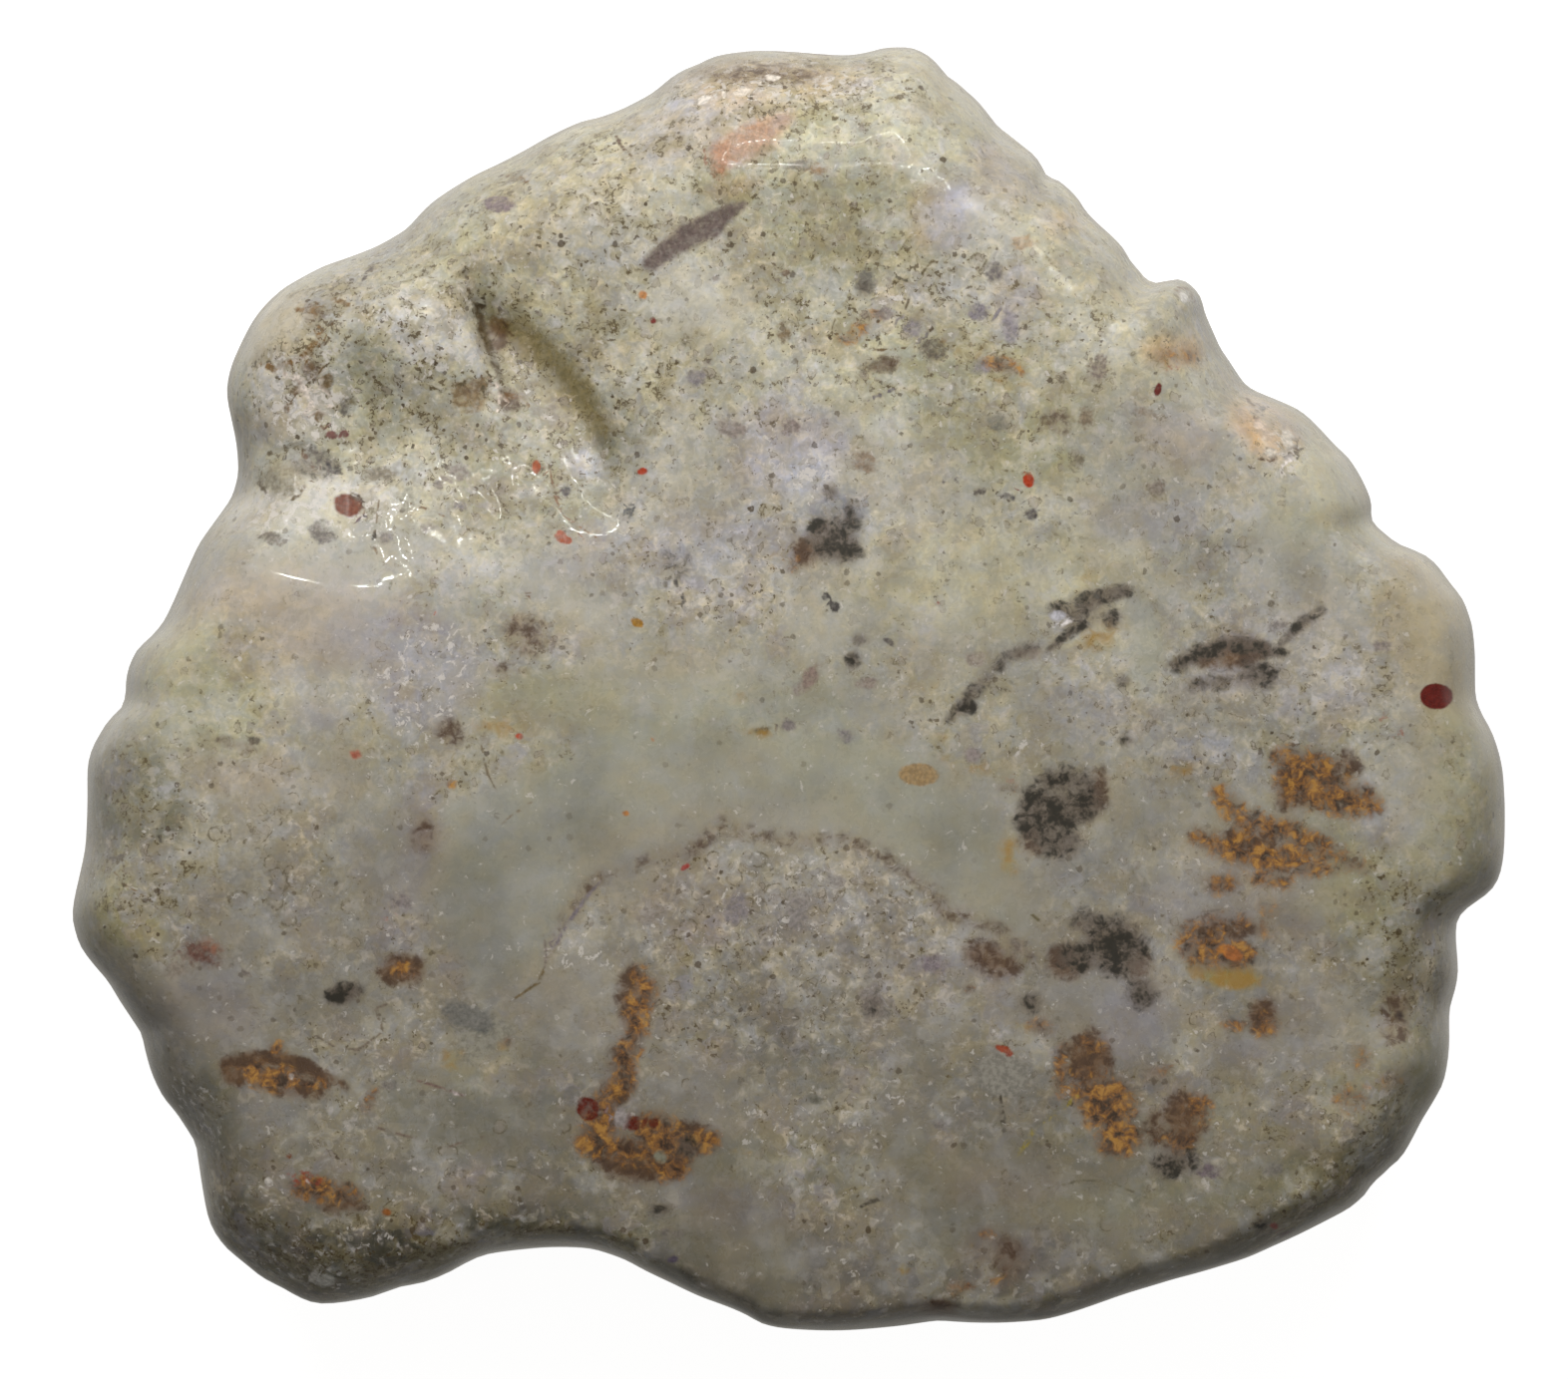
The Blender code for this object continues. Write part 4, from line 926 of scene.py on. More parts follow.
MARKS = [
    (tone(130, 98, 52), 1.8, 1.8, [(297, 311, 2.0), (313, 309, 3.0), (312, 325, 2.2), (322, 338, 3.0), (308, 353, 3.2), (298, 361, 2.6), (274, 370, 3.2), (263, 365, 2.2)]),
    (tone(120, 96, 60), 1.6, 1.6, [(320, 306, 1.6), (336, 300, 2.2), (350, 306, 2.0)]),
    (tone(118, 96, 70), 1.8, 1.6, (298, 391, 5, 4, 0)),
    (tone(118, 96, 70), 1.8, 1.6, (312, 366, 4, 5, 0)),
    (tone(122, 102, 72), 1.8, 1.8, (328, 382, 6, 8, 20)),
    (tone(122, 102, 72), 1.8, 1.6, (320, 418, 4, 5, 0)),
    (tone(124, 104, 80), 1.8, 1.6, (287, 410, 3, 5, 0)),
    (tone(232, 222, 214), 1.6, 1.8, [(286, 376, 2.6), (300, 380, 2.6), (308, 396, 3.0), (316, 404, 2.6), (306, 414, 2.6)]),
    (tone(232, 222, 214), 1.6, 1.8, [(318, 386, 2.0), (332, 400, 2.6), (330, 412, 2.2)]),
    (tone(96, 82, 56), 1.4, 1.2, [(262, 468, 1.6), (259, 484, 2.2), (268, 498, 1.8)]),
    (tone(104, 88, 58), 1.4, 1.2, [(306, 486, 1.8), (299, 498, 2.0), (288, 504, 1.4)]),
    (tone(92, 78, 50), 1.6, 1.6, [(270, 454, 2.4), (290, 448, 3.0), (304, 446, 3.0)]),
    (tone(82, 76, 70), 1.6, 1.6, (337, 471, 5, 3.5, 20)),
    (tone(74, 62, 42), 1.0, 0.8, [(484, 298, 1.8), (485, 306, 2.4)]),
    (tone(92, 68, 42), 1.6, 1.4, (500, 346, 5, 5, 0)),
    (tone(84, 72, 46), 1.4, 1.4, [(458, 388, 2), (470, 381, 2.6), (482, 386, 2.4), (486, 396, 2)]),
    (tone(228, 216, 206), 1.4, 1.2, [(498, 384, 1.8), (501, 398, 2.6), (498, 411, 1.8)]),
    (tone(122, 90, 54), 1.6, 1.6, [(506, 396, 2.6), (522, 398, 2.6), (530, 408, 1.8)]),
    (tone(98, 96, 96), 1.6, 1.0, (567, 492, 4, 4, 0)),
    (tone(72, 74, 76), 1.2, 1.2, [(622, 520, 1.4), (631, 516, 3.2), (634, 510, 1.2)]),
    (tone(74, 68, 60), 1.2, 1.2, [(376, 530, 1.2), (374, 540, 2.4), (372, 549, 1.2)]),
    (tone(82, 74, 62), 1.2, 0.8, [(1003, 1098, 1.0), (1005, 1118, 3.0), (1007, 1140, 1.0)]),
    (tone(160, 146, 72), 1.8, 1.4, [(1022, 1158, 1.6), (1040, 1130, 2.2), (1062, 1112, 2.2), (1080, 1100, 1.6)]),
    (tone(232, 226, 216), 1.6, 1.4, (1290, 440, 6, 9, -20)),
    (tone(232, 226, 216), 1.6, 1.4, (1275, 453, 6, 4, 0)),
    (tone(224, 206, 190), 1.8, 1.4, (1262, 426, 7, 5, 30)),
    (tone(112, 92, 74), 1.2, 1.2, [(1262, 460, 1.4), (1282, 462, 1.8), (1298, 454, 1.6), (1300, 442, 1.2)]),
    (tone(112, 84, 58), 1.2, 1.2, [(1248, 396, 1.4), (1258, 410, 1.6), (1256, 424, 1.2)]),
    # A painted highlight: a white glint on the small nodule.
    (tone(238, 236, 232), 1.2, 0.8, (1187, 299, 4, 5, 0)),
    (tone(120, 92, 66), 1.4, 1.2, [(1176, 292, 1.2), (1184, 288, 1.6), (1194, 292, 1.2), (1198, 302, 1.2)]),
    (tone(236, 230, 222), 1.6, 1.4, (706, 100, 8, 3.6, -24)),
    (tone(232, 222, 210), 1.6, 1.4, (744, 92, 9, 3.6, -10)),
    (tone(236, 228, 218), 1.4, 1.4, (774, 78, 7, 3, 0)),
    (tone(140, 96, 70), 1.4, 1.2, [(706, 150, 1.4), (708, 168, 1.6), (718, 180, 1.4)]),
    (tone(106, 84, 62), 1.4, 1.2, [(616, 130, 1.4), (622, 146, 1.6), (634, 158, 1.2)]),
    (tone(120, 90, 52), 1.6, 1.4, [(500, 178, 1.6), (520, 176, 2.6), (530, 184, 1.6)]),
    (tone(132, 118, 122), 2.2, 1.6, (500, 205, 16, 8, 6)),
    (tone(104, 28, 20), 1.2, 0.6, (1440, 699, 16.5, 13, 4)),
    (tone(122, 58, 30), 2.0, 1.0, (348, 507, 14, 11, 24)),
    (tone(72, 52, 36), 1.4, 1.2, [(352, 494, 1.2), (362, 500, 1.8), (366, 508, 1.4)]),
    (JASPER, 1.2, 1.0, (1031, 482, 5.5, 7, 0)),
    (tone(168, 80, 38), 1.2, 1.0, (538, 468, 4.5, 6.5, 0)),
    (tone(170, 80, 44), 1.2, 1.2, (562, 538, 6.5, 5.5, 30)),
    (tone(166, 76, 40), 1.2, 1.0, (568, 542, 5, 4, 0)),
    (JASPER, 1.2, 1.0, (644, 473, 4.5, 3.5, 0)),
    (MAROON, 1.2, 1.0, (1161, 390, 3.5, 6, 14)),
    (tone(116, 68, 64), 1.4, 1.0, (333, 436, 6, 4, 0)),
    (tone(116, 68, 64), 1.4, 1.0, (346, 435, 3.5, 3.5, 0)),
    (tone(172, 92, 70), 2.2, 1.2, (356, 757, 5.5, 4.5, 0)),
    (JASPER, 1.6, 1.0, (520, 739, 3.8, 3, 0)),
    (tone(168, 48, 40), 1.2, 1.0, (686, 870, 5, 2.6, -34)),
    (tone(104, 36, 22), 1.6, 1.6, (590, 1112, 11, 11, 0)),
    (tone(98, 34, 24), 1.6, 1.6, (584, 1106, 5, 5, 0)),
    (tone(100, 38, 26), 1.8, 1.4, (635, 1127, 8, 8, 0)),
    (tone(104, 44, 24), 1.8, 1.4, (655, 1126, 5, 5, 0)),
    (tone(168, 160, 160), 2.2, 1.4, (622, 1120, 6, 10, 20)),
    (tone(134, 134, 118), 2.2, 1.4, (662, 1160, 7, 6, 0)),
    (tone(160, 72, 44), 1.6, 1.2, (1006, 1052, 8, 3.2, 12)),
    (tone(150, 62, 40), 1.6, 1.2, (1012, 1056, 4, 3, 0)),
    (tone(140, 54, 44), 1.4, 1.0, (1277, 1229, 4.5, 2.8, 0)),
    (tone(80, 38, 34), 1.8, 1.0, (1290, 1239, 8, 4, -16)),
    (tone(128, 52, 46), 1.2, 1.0, (655, 322, 3.2, 2.8, 0)),
    (tone(190, 132, 78), 1.6, 1.0, (644, 296, 4, 4, 0)),
    (tone(140, 76, 44), 1.4, 1.0, (290, 1160, 3, 2.6, 0)),
    (tone(150, 92, 44), 1.8, 1.0, (387, 1216, 4.5, 3.6, 0)),
    (JASPER, 1.2, 1.0, (437, 615, 2.2, 2.0, 0)),
    (tone(160, 94, 74), 1.2, 1.0, (386, 921, 3, 2, 0)),
    (tone(150, 70, 60), 1.2, 1.0, (940, 606, 2, 2, 0)),
    (tone(166, 122, 44), 1.4, 1.0, (639, 624, 6.5, 4.2, 24)),
    (tone(190, 120, 60), 1.4, 1.0, (655, 741, 2.6, 2.2, 0)),
    (tone(190, 130, 70), 1.4, 1.0, (627, 816, 3.2, 2.4, 0)),
    (tone(176, 110, 60), 1.6, 1.2, (1236, 957, 10, 6, 20)),
    (tone(222, 178, 130), 1.6, 1.0, (1240, 957, 5.5, 3.2, 20)),
    (tone(196, 128, 52), 2.4, 1.4, (1226, 951, 6, 4, -20)),
    (tone(220, 214, 210), 1.6, 1.2, (292, 1080, 2.6, 3.4, 0)),
    (tone(206, 204, 202), 1.8, 1.2, (403, 912, 2.8, 2.8, 0)),
    (tone(70, 56, 50), 2.2, 1.2, (1403, 1019, 4.5, 5, 0)),
    (tone(92, 84, 100), 2.2, 1.2, (675, 1263, 5, 3.5, -20)),
    (tone(84, 76, 72), 1.6, 1.2, (525, 1211, 3.5, 2.4, 0)),
    (tone(88, 80, 84), 1.6, 1.2, (567, 493, 4.6, 4.6, 0)),
    (tone(78, 82, 88), 1.4, 1.6, [(620, 516, 2), (634, 507, 2.4)]),
    (tone(78, 82, 88), 1.4, 1.6, [(633, 500, 1), (629, 514, 2.4), (624, 522, 1)]),
    (SOOT, 1.6, 1.2, [(678, 584, 2.2), (684, 598, 2.4), (686, 611, 2.6)]),
    (tone(96, 90, 96), 1.4, 1.2, [(946, 484, 1.6), (951, 478, 2), (958, 479, 2), (961, 484, 1.4)]),
    (tone(104, 96, 92), 1.6, 1.4, [(972, 498, 2), (986, 493, 3)]),
    (tone(88, 86, 92), 1.6, 1.4, [(1003, 496, 3), (1016, 501, 3)]),
    (tone(98, 92, 92), 1.8, 1.4, (1034, 516, 5.5, 5.5, 0)),
    (SOOT, 1.4, 1.4, (827, 598, 4, 4, 0)),
    (SOOT, 1.6, 1.4, (836, 608, 5, 6, -30)),
    (tone(100, 94, 92), 1.6, 1.4, (892, 644, 6, 3, 30)),
    (tone(112, 106, 112), 1.6, 1.2, [(862, 402, 1.4), (880, 398, 2.2), (896, 391, 1.6)]),
    (tone(104, 96, 66), 1.2, 0.8, [(1032, 914, 1.4), (1040, 922, 1.8)]),
    (tone(116, 100, 68), 1.2, 0.6, [(545, 972, 1.6), (541, 984, 2.2), (526, 995, 1.2), (511, 1005, 0.7)]),
    (tone(134, 126, 134), 2.0, 0.8, [(602, 884, 0.8), (586, 902, 1.8), (570, 926, 2.0), (556, 950, 1.2)]),
    (tone(134, 122, 116), 1.6, 0.8, [(546, 938, 1.0), (548, 958, 1.2), (546, 972, 0.8)]),
    (tone(128, 116, 96), 1.2, 0.6, [(487, 734, 1.2), (483, 750, 1.0), (489, 776, 1.1), (500, 796, 0.5)]),
    (tone(150, 138, 120), 1.4, 0.6, [(532, 806, 1.8), (516, 816, 1.0), (500, 830, 0.5)]),
    (tone(122, 92, 62), 1.0, 0.6, [(404, 503, 1.0), (428, 511, 1.2), (452, 521, 0.7)]),
    (tone(128, 110, 84), 1.0, 0.6, [(380, 500, 0.7), (377, 524, 1.0), (374, 546, 1.4), (378, 556, 0.7)]),
    (tone(132, 98, 68), 1.0, 0.8, [(552, 470, 0.8), (556, 498, 1.6), (562, 516, 1.0), (598, 540, 0.7)]),
    (tone(128, 106, 98), 1.4, 0.8, [(408, 1082, 1.0), (436, 1089, 1.4), (464, 1098, 1.0)]),
    (tone(122, 106, 96), 1.4, 0.8, [(374, 1130, 0.8), (400, 1138, 1.2), (428, 1145, 1.2)]),
    (tone(124, 108, 94), 1.4, 0.8, [(450, 1150, 1.0), (470, 1142, 1.2), (492, 1140, 1.0)]),
    (tone(112, 108, 98), 1.4, 0.6, [(1003, 1102, 1.0), (1006, 1120, 2.6), (1008, 1140, 1.0)]),
    (tone(136, 132, 124), 1.8, 0.6, [(1034, 1066, 1.0), (1032, 1086, 1.8)]),
    (tone(126, 120, 100), 1.2, 0.8, [(1050, 1192, 0.8), (1082, 1184, 1.2), (1112, 1184, 1.2), (1150, 1202, 0.8)]),
    (tone(98, 92, 80), 1.2, 0.8, [(884, 1202, 2.0), (870, 1206, 2.2), (856, 1214, 0.8)]),
    (tone(130, 118, 104), 1.2, 0.8, [(388, 1008, 1.2), (376, 1012, 1.0), (384, 1034, 1.2), (360, 1052, 1.2), (336, 1050, 1.0), (316, 1038, 0.8)]),
    (tone(110, 104, 84), 1.2, 0.8, [(498, 1168, 0.8), (526, 1172, 1.2), (548, 1184, 0.8)]),
    # Dark lines in the crease and the pit beside it: partly dark seams in the stone, partly painted shade where the
    # crease is deep.
    (tone(84, 70, 46), 2.2, 1.4, [(466, 286, 2.2), (477, 304, 3.4), (484, 328, 4.6), (492, 350, 3.6), (499, 374, 3.2), (502, 396, 2.2)]),
    (tone(84, 66, 40), 1.4, 1.0, [(483, 298, 1.2), (486, 308, 1.6)]),
    (tone(88, 68, 42), 1.6, 1.2, [(504, 322, 1.0), (512, 334, 1.4), (520, 342, 1.0)]),
    (tone(104, 80, 54), 1.2, 1.0, [(532, 404, 0.8), (536, 416, 1.0)]),
    (tone(88, 70, 48), 1.2, 1.2, [(300, 312, 1.0), (318, 300, 1.4), (322, 318, 1.2), (338, 322, 1.0)]),
    (tone(76, 60, 44), 1.2, 1.2, [(306, 326, 1.6), (318, 328, 1.6)]),
    (tone(92, 82, 78), 1.2, 1.0, [(362, 286, 1.2), (368, 274, 1.8), (376, 266, 1.2)]),
    (tone(104, 84, 60), 1.2, 1.0, [(330, 340, 1.6), (322, 350, 1.4)]),
    (tone(112, 86, 66), 1.2, 1.2, [(290, 452, 1.4), (304, 456, 2.0), (316, 470, 2.4)]),
    (tone(84, 80, 84), 1.2, 1.2, [(284, 462, 1.8), (288, 458, 1.2)]),
    (tone(70, 66, 70), 1.2, 1.2, [(330, 466, 2.2), (340, 474, 2.0)]),
    (tone(104, 98, 108), 1.2, 1.0, (362, 524, 2.4, 2.4, 0)),
    (tone(120, 100, 70), 1.4, 1.2, [(616, 462, 1.2), (606, 468, 1.0)]),
    (tone(90, 86, 70), 1.4, 1.2, [(880, 264, 1.2), (896, 276, 1.4), (910, 282, 1.4), (922, 276, 1.0)]),
    (tone(110, 96, 66), 1.4, 1.2, [(922, 278, 1.0), (934, 262, 1.2), (952, 264, 1.0), (966, 268, 1.0)]),
    (tone(104, 92, 70), 1.2, 1.0, [(908, 310, 0.8), (914, 292, 1.0)]),
    (tone(110, 90, 60), 1.2, 1.2, [(870, 350, 1.0), (890, 352, 1.4), (916, 348, 1.0)]),
    (tone(128, 120, 90), 1.6, 1.2, [(1006, 472, 0.8), (1030, 474, 1.0)]),
    (tone(96, 92, 86), 1.4, 1.2, (1100, 598, 3.0, 3.0, 0)),
    (tone(230, 226, 226), 1.2, 0.8, [(1064, 628, 1.6), (1074, 622, 2.2)]),
    (tone(196, 196, 206), 2.2, 1.0, (1060, 618, 8, 5, 0)),
    (tone(90, 80, 74), 1.2, 1.0, [(1276, 450, 1.2), (1288, 456, 1.0), (1300, 448, 1.4)]),
    (tone(84, 84, 84), 1.2, 1.0, (1265, 410, 3.4, 3, 0)),
    (tone(84, 72, 60), 1.2, 1.2, [(1278, 470, 1.0), (1286, 474, 1.2)]),
    (tone(96, 90, 74), 1.2, 1.2, (1300, 458, 2.0, 3.2, 30)),
    # A painted highlight: a white glint among the peach crystals.
    (tone(238, 232, 230), 1.0, 1.0, [(1284, 468, 1.6), (1292, 462, 1.8), (1300, 456, 1.2)]),
    (tone(108, 98, 88), 1.2, 1.2, (1066, 377, 3.0, 2.6, 0)),
    (tone(104, 98, 80), 1.4, 1.2, (686, 345, 2.6, 3.2, 0)),
    (tone(112, 92, 70), 1.4, 1.2, (718, 279, 4, 2.4, 0)),
    (tone(118, 96, 76), 1.4, 1.2, (787, 274, 4, 3, 0)),
    (tone(110, 80, 60), 1.4, 1.2, [(524, 590, 2.4), (534, 600, 2.0)]),
    (tone(112, 110, 92), 1.2, 1.0, [(390, 592, 1.4), (392, 584, 1.8)]),
    (tone(104, 96, 92), 1.6, 1.4, (396, 712, 3.0, 3.0, 0)),
    (tone(104, 94, 80), 1.6, 1.2, [(244, 738, 2.4), (250, 742, 1.6)]),
    (tone(92, 84, 64), 1.2, 1.0, (125, 888, 2.6, 2.6, 0)),
    (tone(128, 108, 82), 1.0, 0.8, [(112, 872, 0.7), (126, 888, 0.9), (150, 902, 0.9), (160, 914, 0.7)]),
    (tone(92, 84, 60), 1.2, 1.0, (175, 905, 2.2, 2.2, 0)),
    (tone(120, 112, 70), 1.6, 1.2, [(174, 924, 2.0), (184, 918, 1.2)]),
    (tone(112, 106, 98), 1.6, 1.2, [(104, 856, 2.0), (116, 862, 3.4), (124, 858, 2.4)]),
    (tone(90, 86, 76), 1.4, 1.2, [(158, 838, 1.6), (162, 844, 1.8)]),
    (tone(124, 116, 110), 2.2, 1.4, [(232, 968, 2.0), (250, 978, 2.4)]),
    (tone(214, 208, 204), 1.6, 1.0, [(306, 1182, 0.8), (312, 1190, 0.6)]),
    (tone(206, 202, 196), 1.6, 1.2, (269, 1184, 3.4, 3.4, 0)),
    (tone(210, 204, 200), 1.8, 1.2, [(264, 1200, 2.2), (276, 1206, 1.8)]),
    (tone(200, 198, 190), 1.8, 1.0, [(224, 1200, 1.2), (234, 1210, 1.8)]),
    (tone(214, 208, 204), 1.4, 1.0, [(414, 1172, 1.6), (424, 1174, 1.4), (430, 1164, 1.0)]),
    (tone(216, 206, 206), 1.4, 1.0, [(454, 1096, 1.6), (466, 1098, 1.2)]),
    # Pale patch at the lower lobe's rim: partly white crust, partly a painted highlight.
    (tone(206, 204, 196), 2.4, 1.4, (326, 1284, 10, 6, 0)),
    (tone(206, 198, 190), 1.6, 1.0, [(312, 1276, 2.0), (318, 1270, 1.4)]),
]

# Sand grains that show as a thin dark ring.
RINGS = [
    (922, 212, 8, 8, 0), (700, 376, 9, 8, 0), (1160, 488, 8, 7, 0), (1240, 557, 12, 8, 8),
    (715, 592, 7, 10, 14), (742, 542, 9, 8, 0), (730, 836, 8, 7, 0), (760, 862, 8, 7, 0),
    (736, 880, 7, 7, 0), (778, 897, 11, 10, 0), (746, 908, 8, 7, 0), (583, 922, 7, 7, 0),
    (820, 895, 7, 6, 0), (839, 896, 7, 7, 0), (863, 1040, 8, 7, 0), (690, 1090, 7, 7, 0),
    (450, 1155, 8, 7, 0), (812, 1245, 8, 8, 0), (1200, 1022, 6, 6, 0), (1065, 260, 14, 8, 20),
    (252, 846, 7, 6, 0), (262, 834, 7, 7, 0), (274, 824, 7, 6, 0), (284, 812, 6, 6, 0),
    (294, 802, 6, 6, 0), (272, 866, 7, 7, 0), (280, 884, 8, 7, 0), (276, 904, 7, 8, 0),
    (290, 922, 7, 6, 0), (240, 903, 9, 9, 0), (456, 1190, 15, 12, 0), (1004, 422, 11, 9, 0),
    (664, 886, 7, 6, 0), (700, 896, 6, 6, 0), (716, 862, 7, 7, 0), (800, 868, 7, 6, 0),
    (870, 880, 7, 7, 0), (906, 900, 7, 6, 0), (690, 930, 7, 7, 0), (724, 948, 6, 6, 0),
    (770, 936, 7, 6, 0), (676, 990, 6, 6, 0), (720, 1010, 7, 7, 0), (916, 1000, 6, 6, 0),
    (1098, 376, 11, 10, 0), (770, 416, 9, 8, 0), (722, 424, 8, 7, 0), (792, 330, 8, 7, 0),
    (980, 262, 7, 7, 0), (1028, 336, 7, 7, 0), (896, 246, 7, 7, 0), (618, 392, 6, 6, 0),
    (500, 1130, 6, 6, 0), (350, 910, 6, 6, 0), (216, 836, 6, 6, 0), (1110, 1228, 7, 6, 0),
    (1150, 1240, 6, 6, 0), (1010, 1180, 6, 6, 0), (870, 1180, 6, 6, 0), (566, 1130, 6, 5, 0),
]

# ------------------------------------------------------------ shapes into weights
def field(shape, u, v):
    """How far each (u, v) lies inside a shape, in pixels; negative outside. A
    shape is an ellipse, a stroke, or a polygon given as a list of (u, v)."""
    if isinstance(shape, tuple):
        cu, cv, ru, rv, turn = shape
        c, s = math.cos(math.radians(turn)), math.sin(math.radians(turn))
        a, b = (u - cu) * c + (v - cv) * s, -(u - cu) * s + (v - cv) * c
        q = np.hypot(a / ru, b / rv)
        slope = np.hypot(a / ru**2, b / rv**2) / np.maximum(q, 1e-6)
        return (1 - q) / np.maximum(slope, 1e-6)
    if len(shape[0]) == 2:
        ring = shape + shape[:1]
        odd = np.zeros(u.shape, bool)
        for (ax, ay), (bx, by) in zip(ring, ring[1:]):
            if ay != by:
                odd ^= ((v > ay) != (v > by)) & (u < ax + (v - ay) * (bx - ax) / (by - ay))
        return np.where(odd, 1, -1) * along(ring, u, v)
    return locate(shape, u, v)[0]


def locate(shape, u, v):
    """For an ellipse or a stroke: how far each (u, v) lies inside, two offsets
    from its middle or its middle line, and its radius. The offsets change
    evenly from place to place, so that the mesh can carry marks finer than its
    own faces."""
    if isinstance(shape, tuple):
        cu, cv, ru, rv, turn = shape
        c, s = math.cos(math.radians(turn)), math.sin(math.radians(turn))
        r = math.sqrt(ru * rv)
        a, b = (u - cu) * c + (v - cv) * s, -(u - cu) * s + (v - cv) * c
        a, b = a * r / ru, b * r / rv
        return r - np.hypot(a, b), a, b, np.full(u.shape, r)
    best = [np.full(u.shape, -1e9)] + [np.zeros(u.shape) for _ in range(3)]
    for (ax, ay, ar), (bx, by, br) in zip(shape, shape[1:] or shape):
        dx, dy = bx - ax, by - ay
        length = max(math.hypot(dx, dy), 1e-6)
        if length < 1e-3:
            dx = 1e-3
        t = ((u - ax) * dx + (v - ay) * dy) / (dx * dx + dy * dy)
        clipped = np.clip(t, 0, 1)
        off_line = ((u - ax) * dy - (v - ay) * dx) / length
        beyond = (t - clipped) * length
        r = ar + (br - ar) * clipped
        f = r - np.hypot(off_line, beyond)
        near = f > best[0]
        for old, new in zip(best, (f, off_line, beyond, r)):
            old[near] = new[near]
    return best


def inside(shape, u, v, soft):
    """1 well inside, 0 well outside, over twice that softness in pixels."""
    return smooth((field(shape, u, v) + soft) / (2 * soft))


PERM = np.random.default_rng(20).permutation(256)
PERM = np.concatenate([PERM, PERM, PERM])
GRAD = np.random.default_rng(21).normal(size=(256, 3))
GRAD /= np.linalg.norm(GRAD, axis=1)[:, None]


def grain(points, size, seed, octaves=1):
    """Gradient noise in about -1 to 1, of that size in the points' unit."""
    total, weight, norm = 0.0, 1.0, 0.0
    for k in range(octaves):
        p = points / (size / 2**k) + seed * 17.31 + k * 5.7
        i = np.floor(p).astype(int)
        f = p - i
        w = f * f * f * (f * (f * 6 - 15) + 10)
        i &= 255
        value = 0.0
        for dx in (0, 1):
            for dy in (0, 1):
                for dz in (0, 1):
                    g = GRAD[PERM[PERM[PERM[i[:, 0] + dx] + i[:, 1] + dy] + i[:, 2] + dz]]
                    dot = ((f - [dx, dy, dz]) * g).sum(1)
                    value = value + dot * (
                        (w[:, 0] if dx else 1 - w[:, 0])
                        * (w[:, 1] if dy else 1 - w[:, 1])
                        * (w[:, 2] if dz else 1 - w[:, 2])
                    )
        total, norm = total + value * weight * 1.6, norm + weight
        weight *= 0.55
    return total / norm


# ------------------------------------------------------------------ the stone
def cube_sphere(n):
    """A cube with n by n faces on each side."""
    bm = bmesh.new()
    bmesh.ops.create_cube(bm, size=2.0)
    bmesh.ops.subdivide_edges(bm, edges=bm.edges[:], cuts=n - 1, use_grid_fill=True)
    return bm


bm = cube_sphere(CELLS)
cube = np.array([v.co[:] for v in bm.verts])
points, off = stone_points(np.tan(cube * math.pi / 4))

# Where the camera sees each point.
camera_z = RIM_Z + CAMERA_HEIGHT
scale = CAMERA_HEIGHT / (camera_z - points[:, 2])
u = MID_U + points[:, 0] * scale / PX
v = MID_V - points[:, 1] * scale / PX

# Fine relief of the hollow and of the worn rim.
worn = inside((405, 430, 190, 130, 0), u, v, 40) * smooth(off / 3.0)
worn = np.maximum(worn, 0.10 * smooth((1.0 - off) / 3.0))
worn = np.maximum(worn, 0.35 * smooth((1.0 - off) / 2.4) * smooth((v - 900) / 200))
worn = np.maximum(worn, 0.8 * inside([(1430, 920, 20), (1405, 980, 20), (1380, 1100, 30)], u, v, 16))
bumps = 0.07 * grain(points, 2.2, 1, 3) + 0.035 * grain(points, 0.9, 2, 2)
for vert, point, rise in zip(bm.verts, points, bumps * worn * (points[:, 2] > 0.4)):
    vert.co = Vector(point) * 0.001
bm.normal_update()
normals = np.array([vert.normal[:] for vert in bm.verts])
if normals[np.argmax(points[:, 2]), 2] < 0:
    bmesh.ops.reverse_faces(bm, faces=bm.faces[:])
    normals = -normals
moved = points + normals * (bumps * worn * (points[:, 2] > 0.4))[:, None]
for vert, point in zip(bm.verts, moved):
    vert.co = Vector(point) * 0.001
bmesh.ops.triangulate(bm, faces=bm.faces[:])

mesh = bpy.data.meshes.new("stone")
bm.to_mesh(mesh)
bm.free()
mesh.shade_smooth()
stone = bpy.data.objects.new("stone", mesh)
bpy.context.scene.collection.objects.link(stone)

# The shapes' edges are pulled about a little, so that none is a clean ellipse.
warp_u = 11 * grain(points, 2.6, 3, 3) + 2 * grain(points, 0.9, 4)
warp_v = 11 * grain(points, 2.6, 5, 3) + 2 * grain(points, 0.9, 6)
front = smooth((off + 2.6) / 2.4)  # 1 on the face, 0 under the rim
front = front * smooth((normals[:, 2] - 0.04) / 0.20)  # and 0 on the flanks
wu, wv = u + warp_u, v + warp_v
fine_u, fine_v = u + 0.16 * warp_u, v + 0.16 * warp_v

patchy = grain(points, 9.0, 7, 3)
ground = GREEN_CREAM + (GREY_CREAM - GREEN_CREAM) * smooth(0.5 + patchy)[:, None]
back = BEIGE + (GREY_CREAM - BEIGE) * smooth(0.5 + 1.2 * patchy)[:, None]
for colour, strength, soft, shape in GROUND:
    w = (strength * inside(shape, wu, wv, soft))[:, None]
    ground = ground + (colour - ground) * w

# Painted shade: the ground grows darker towards the bottom of the face, where the light falls off.
ground = ground * (1 - 0.41 * smooth((v - 480) / 720))[:, None]
ground[:, 2] *= 1 + 0.12 * (1 - smooth((v - 420) / 320))
ground[:, 1] *= 1 + 0.035 * (1 - smooth((v - 620) / 400))

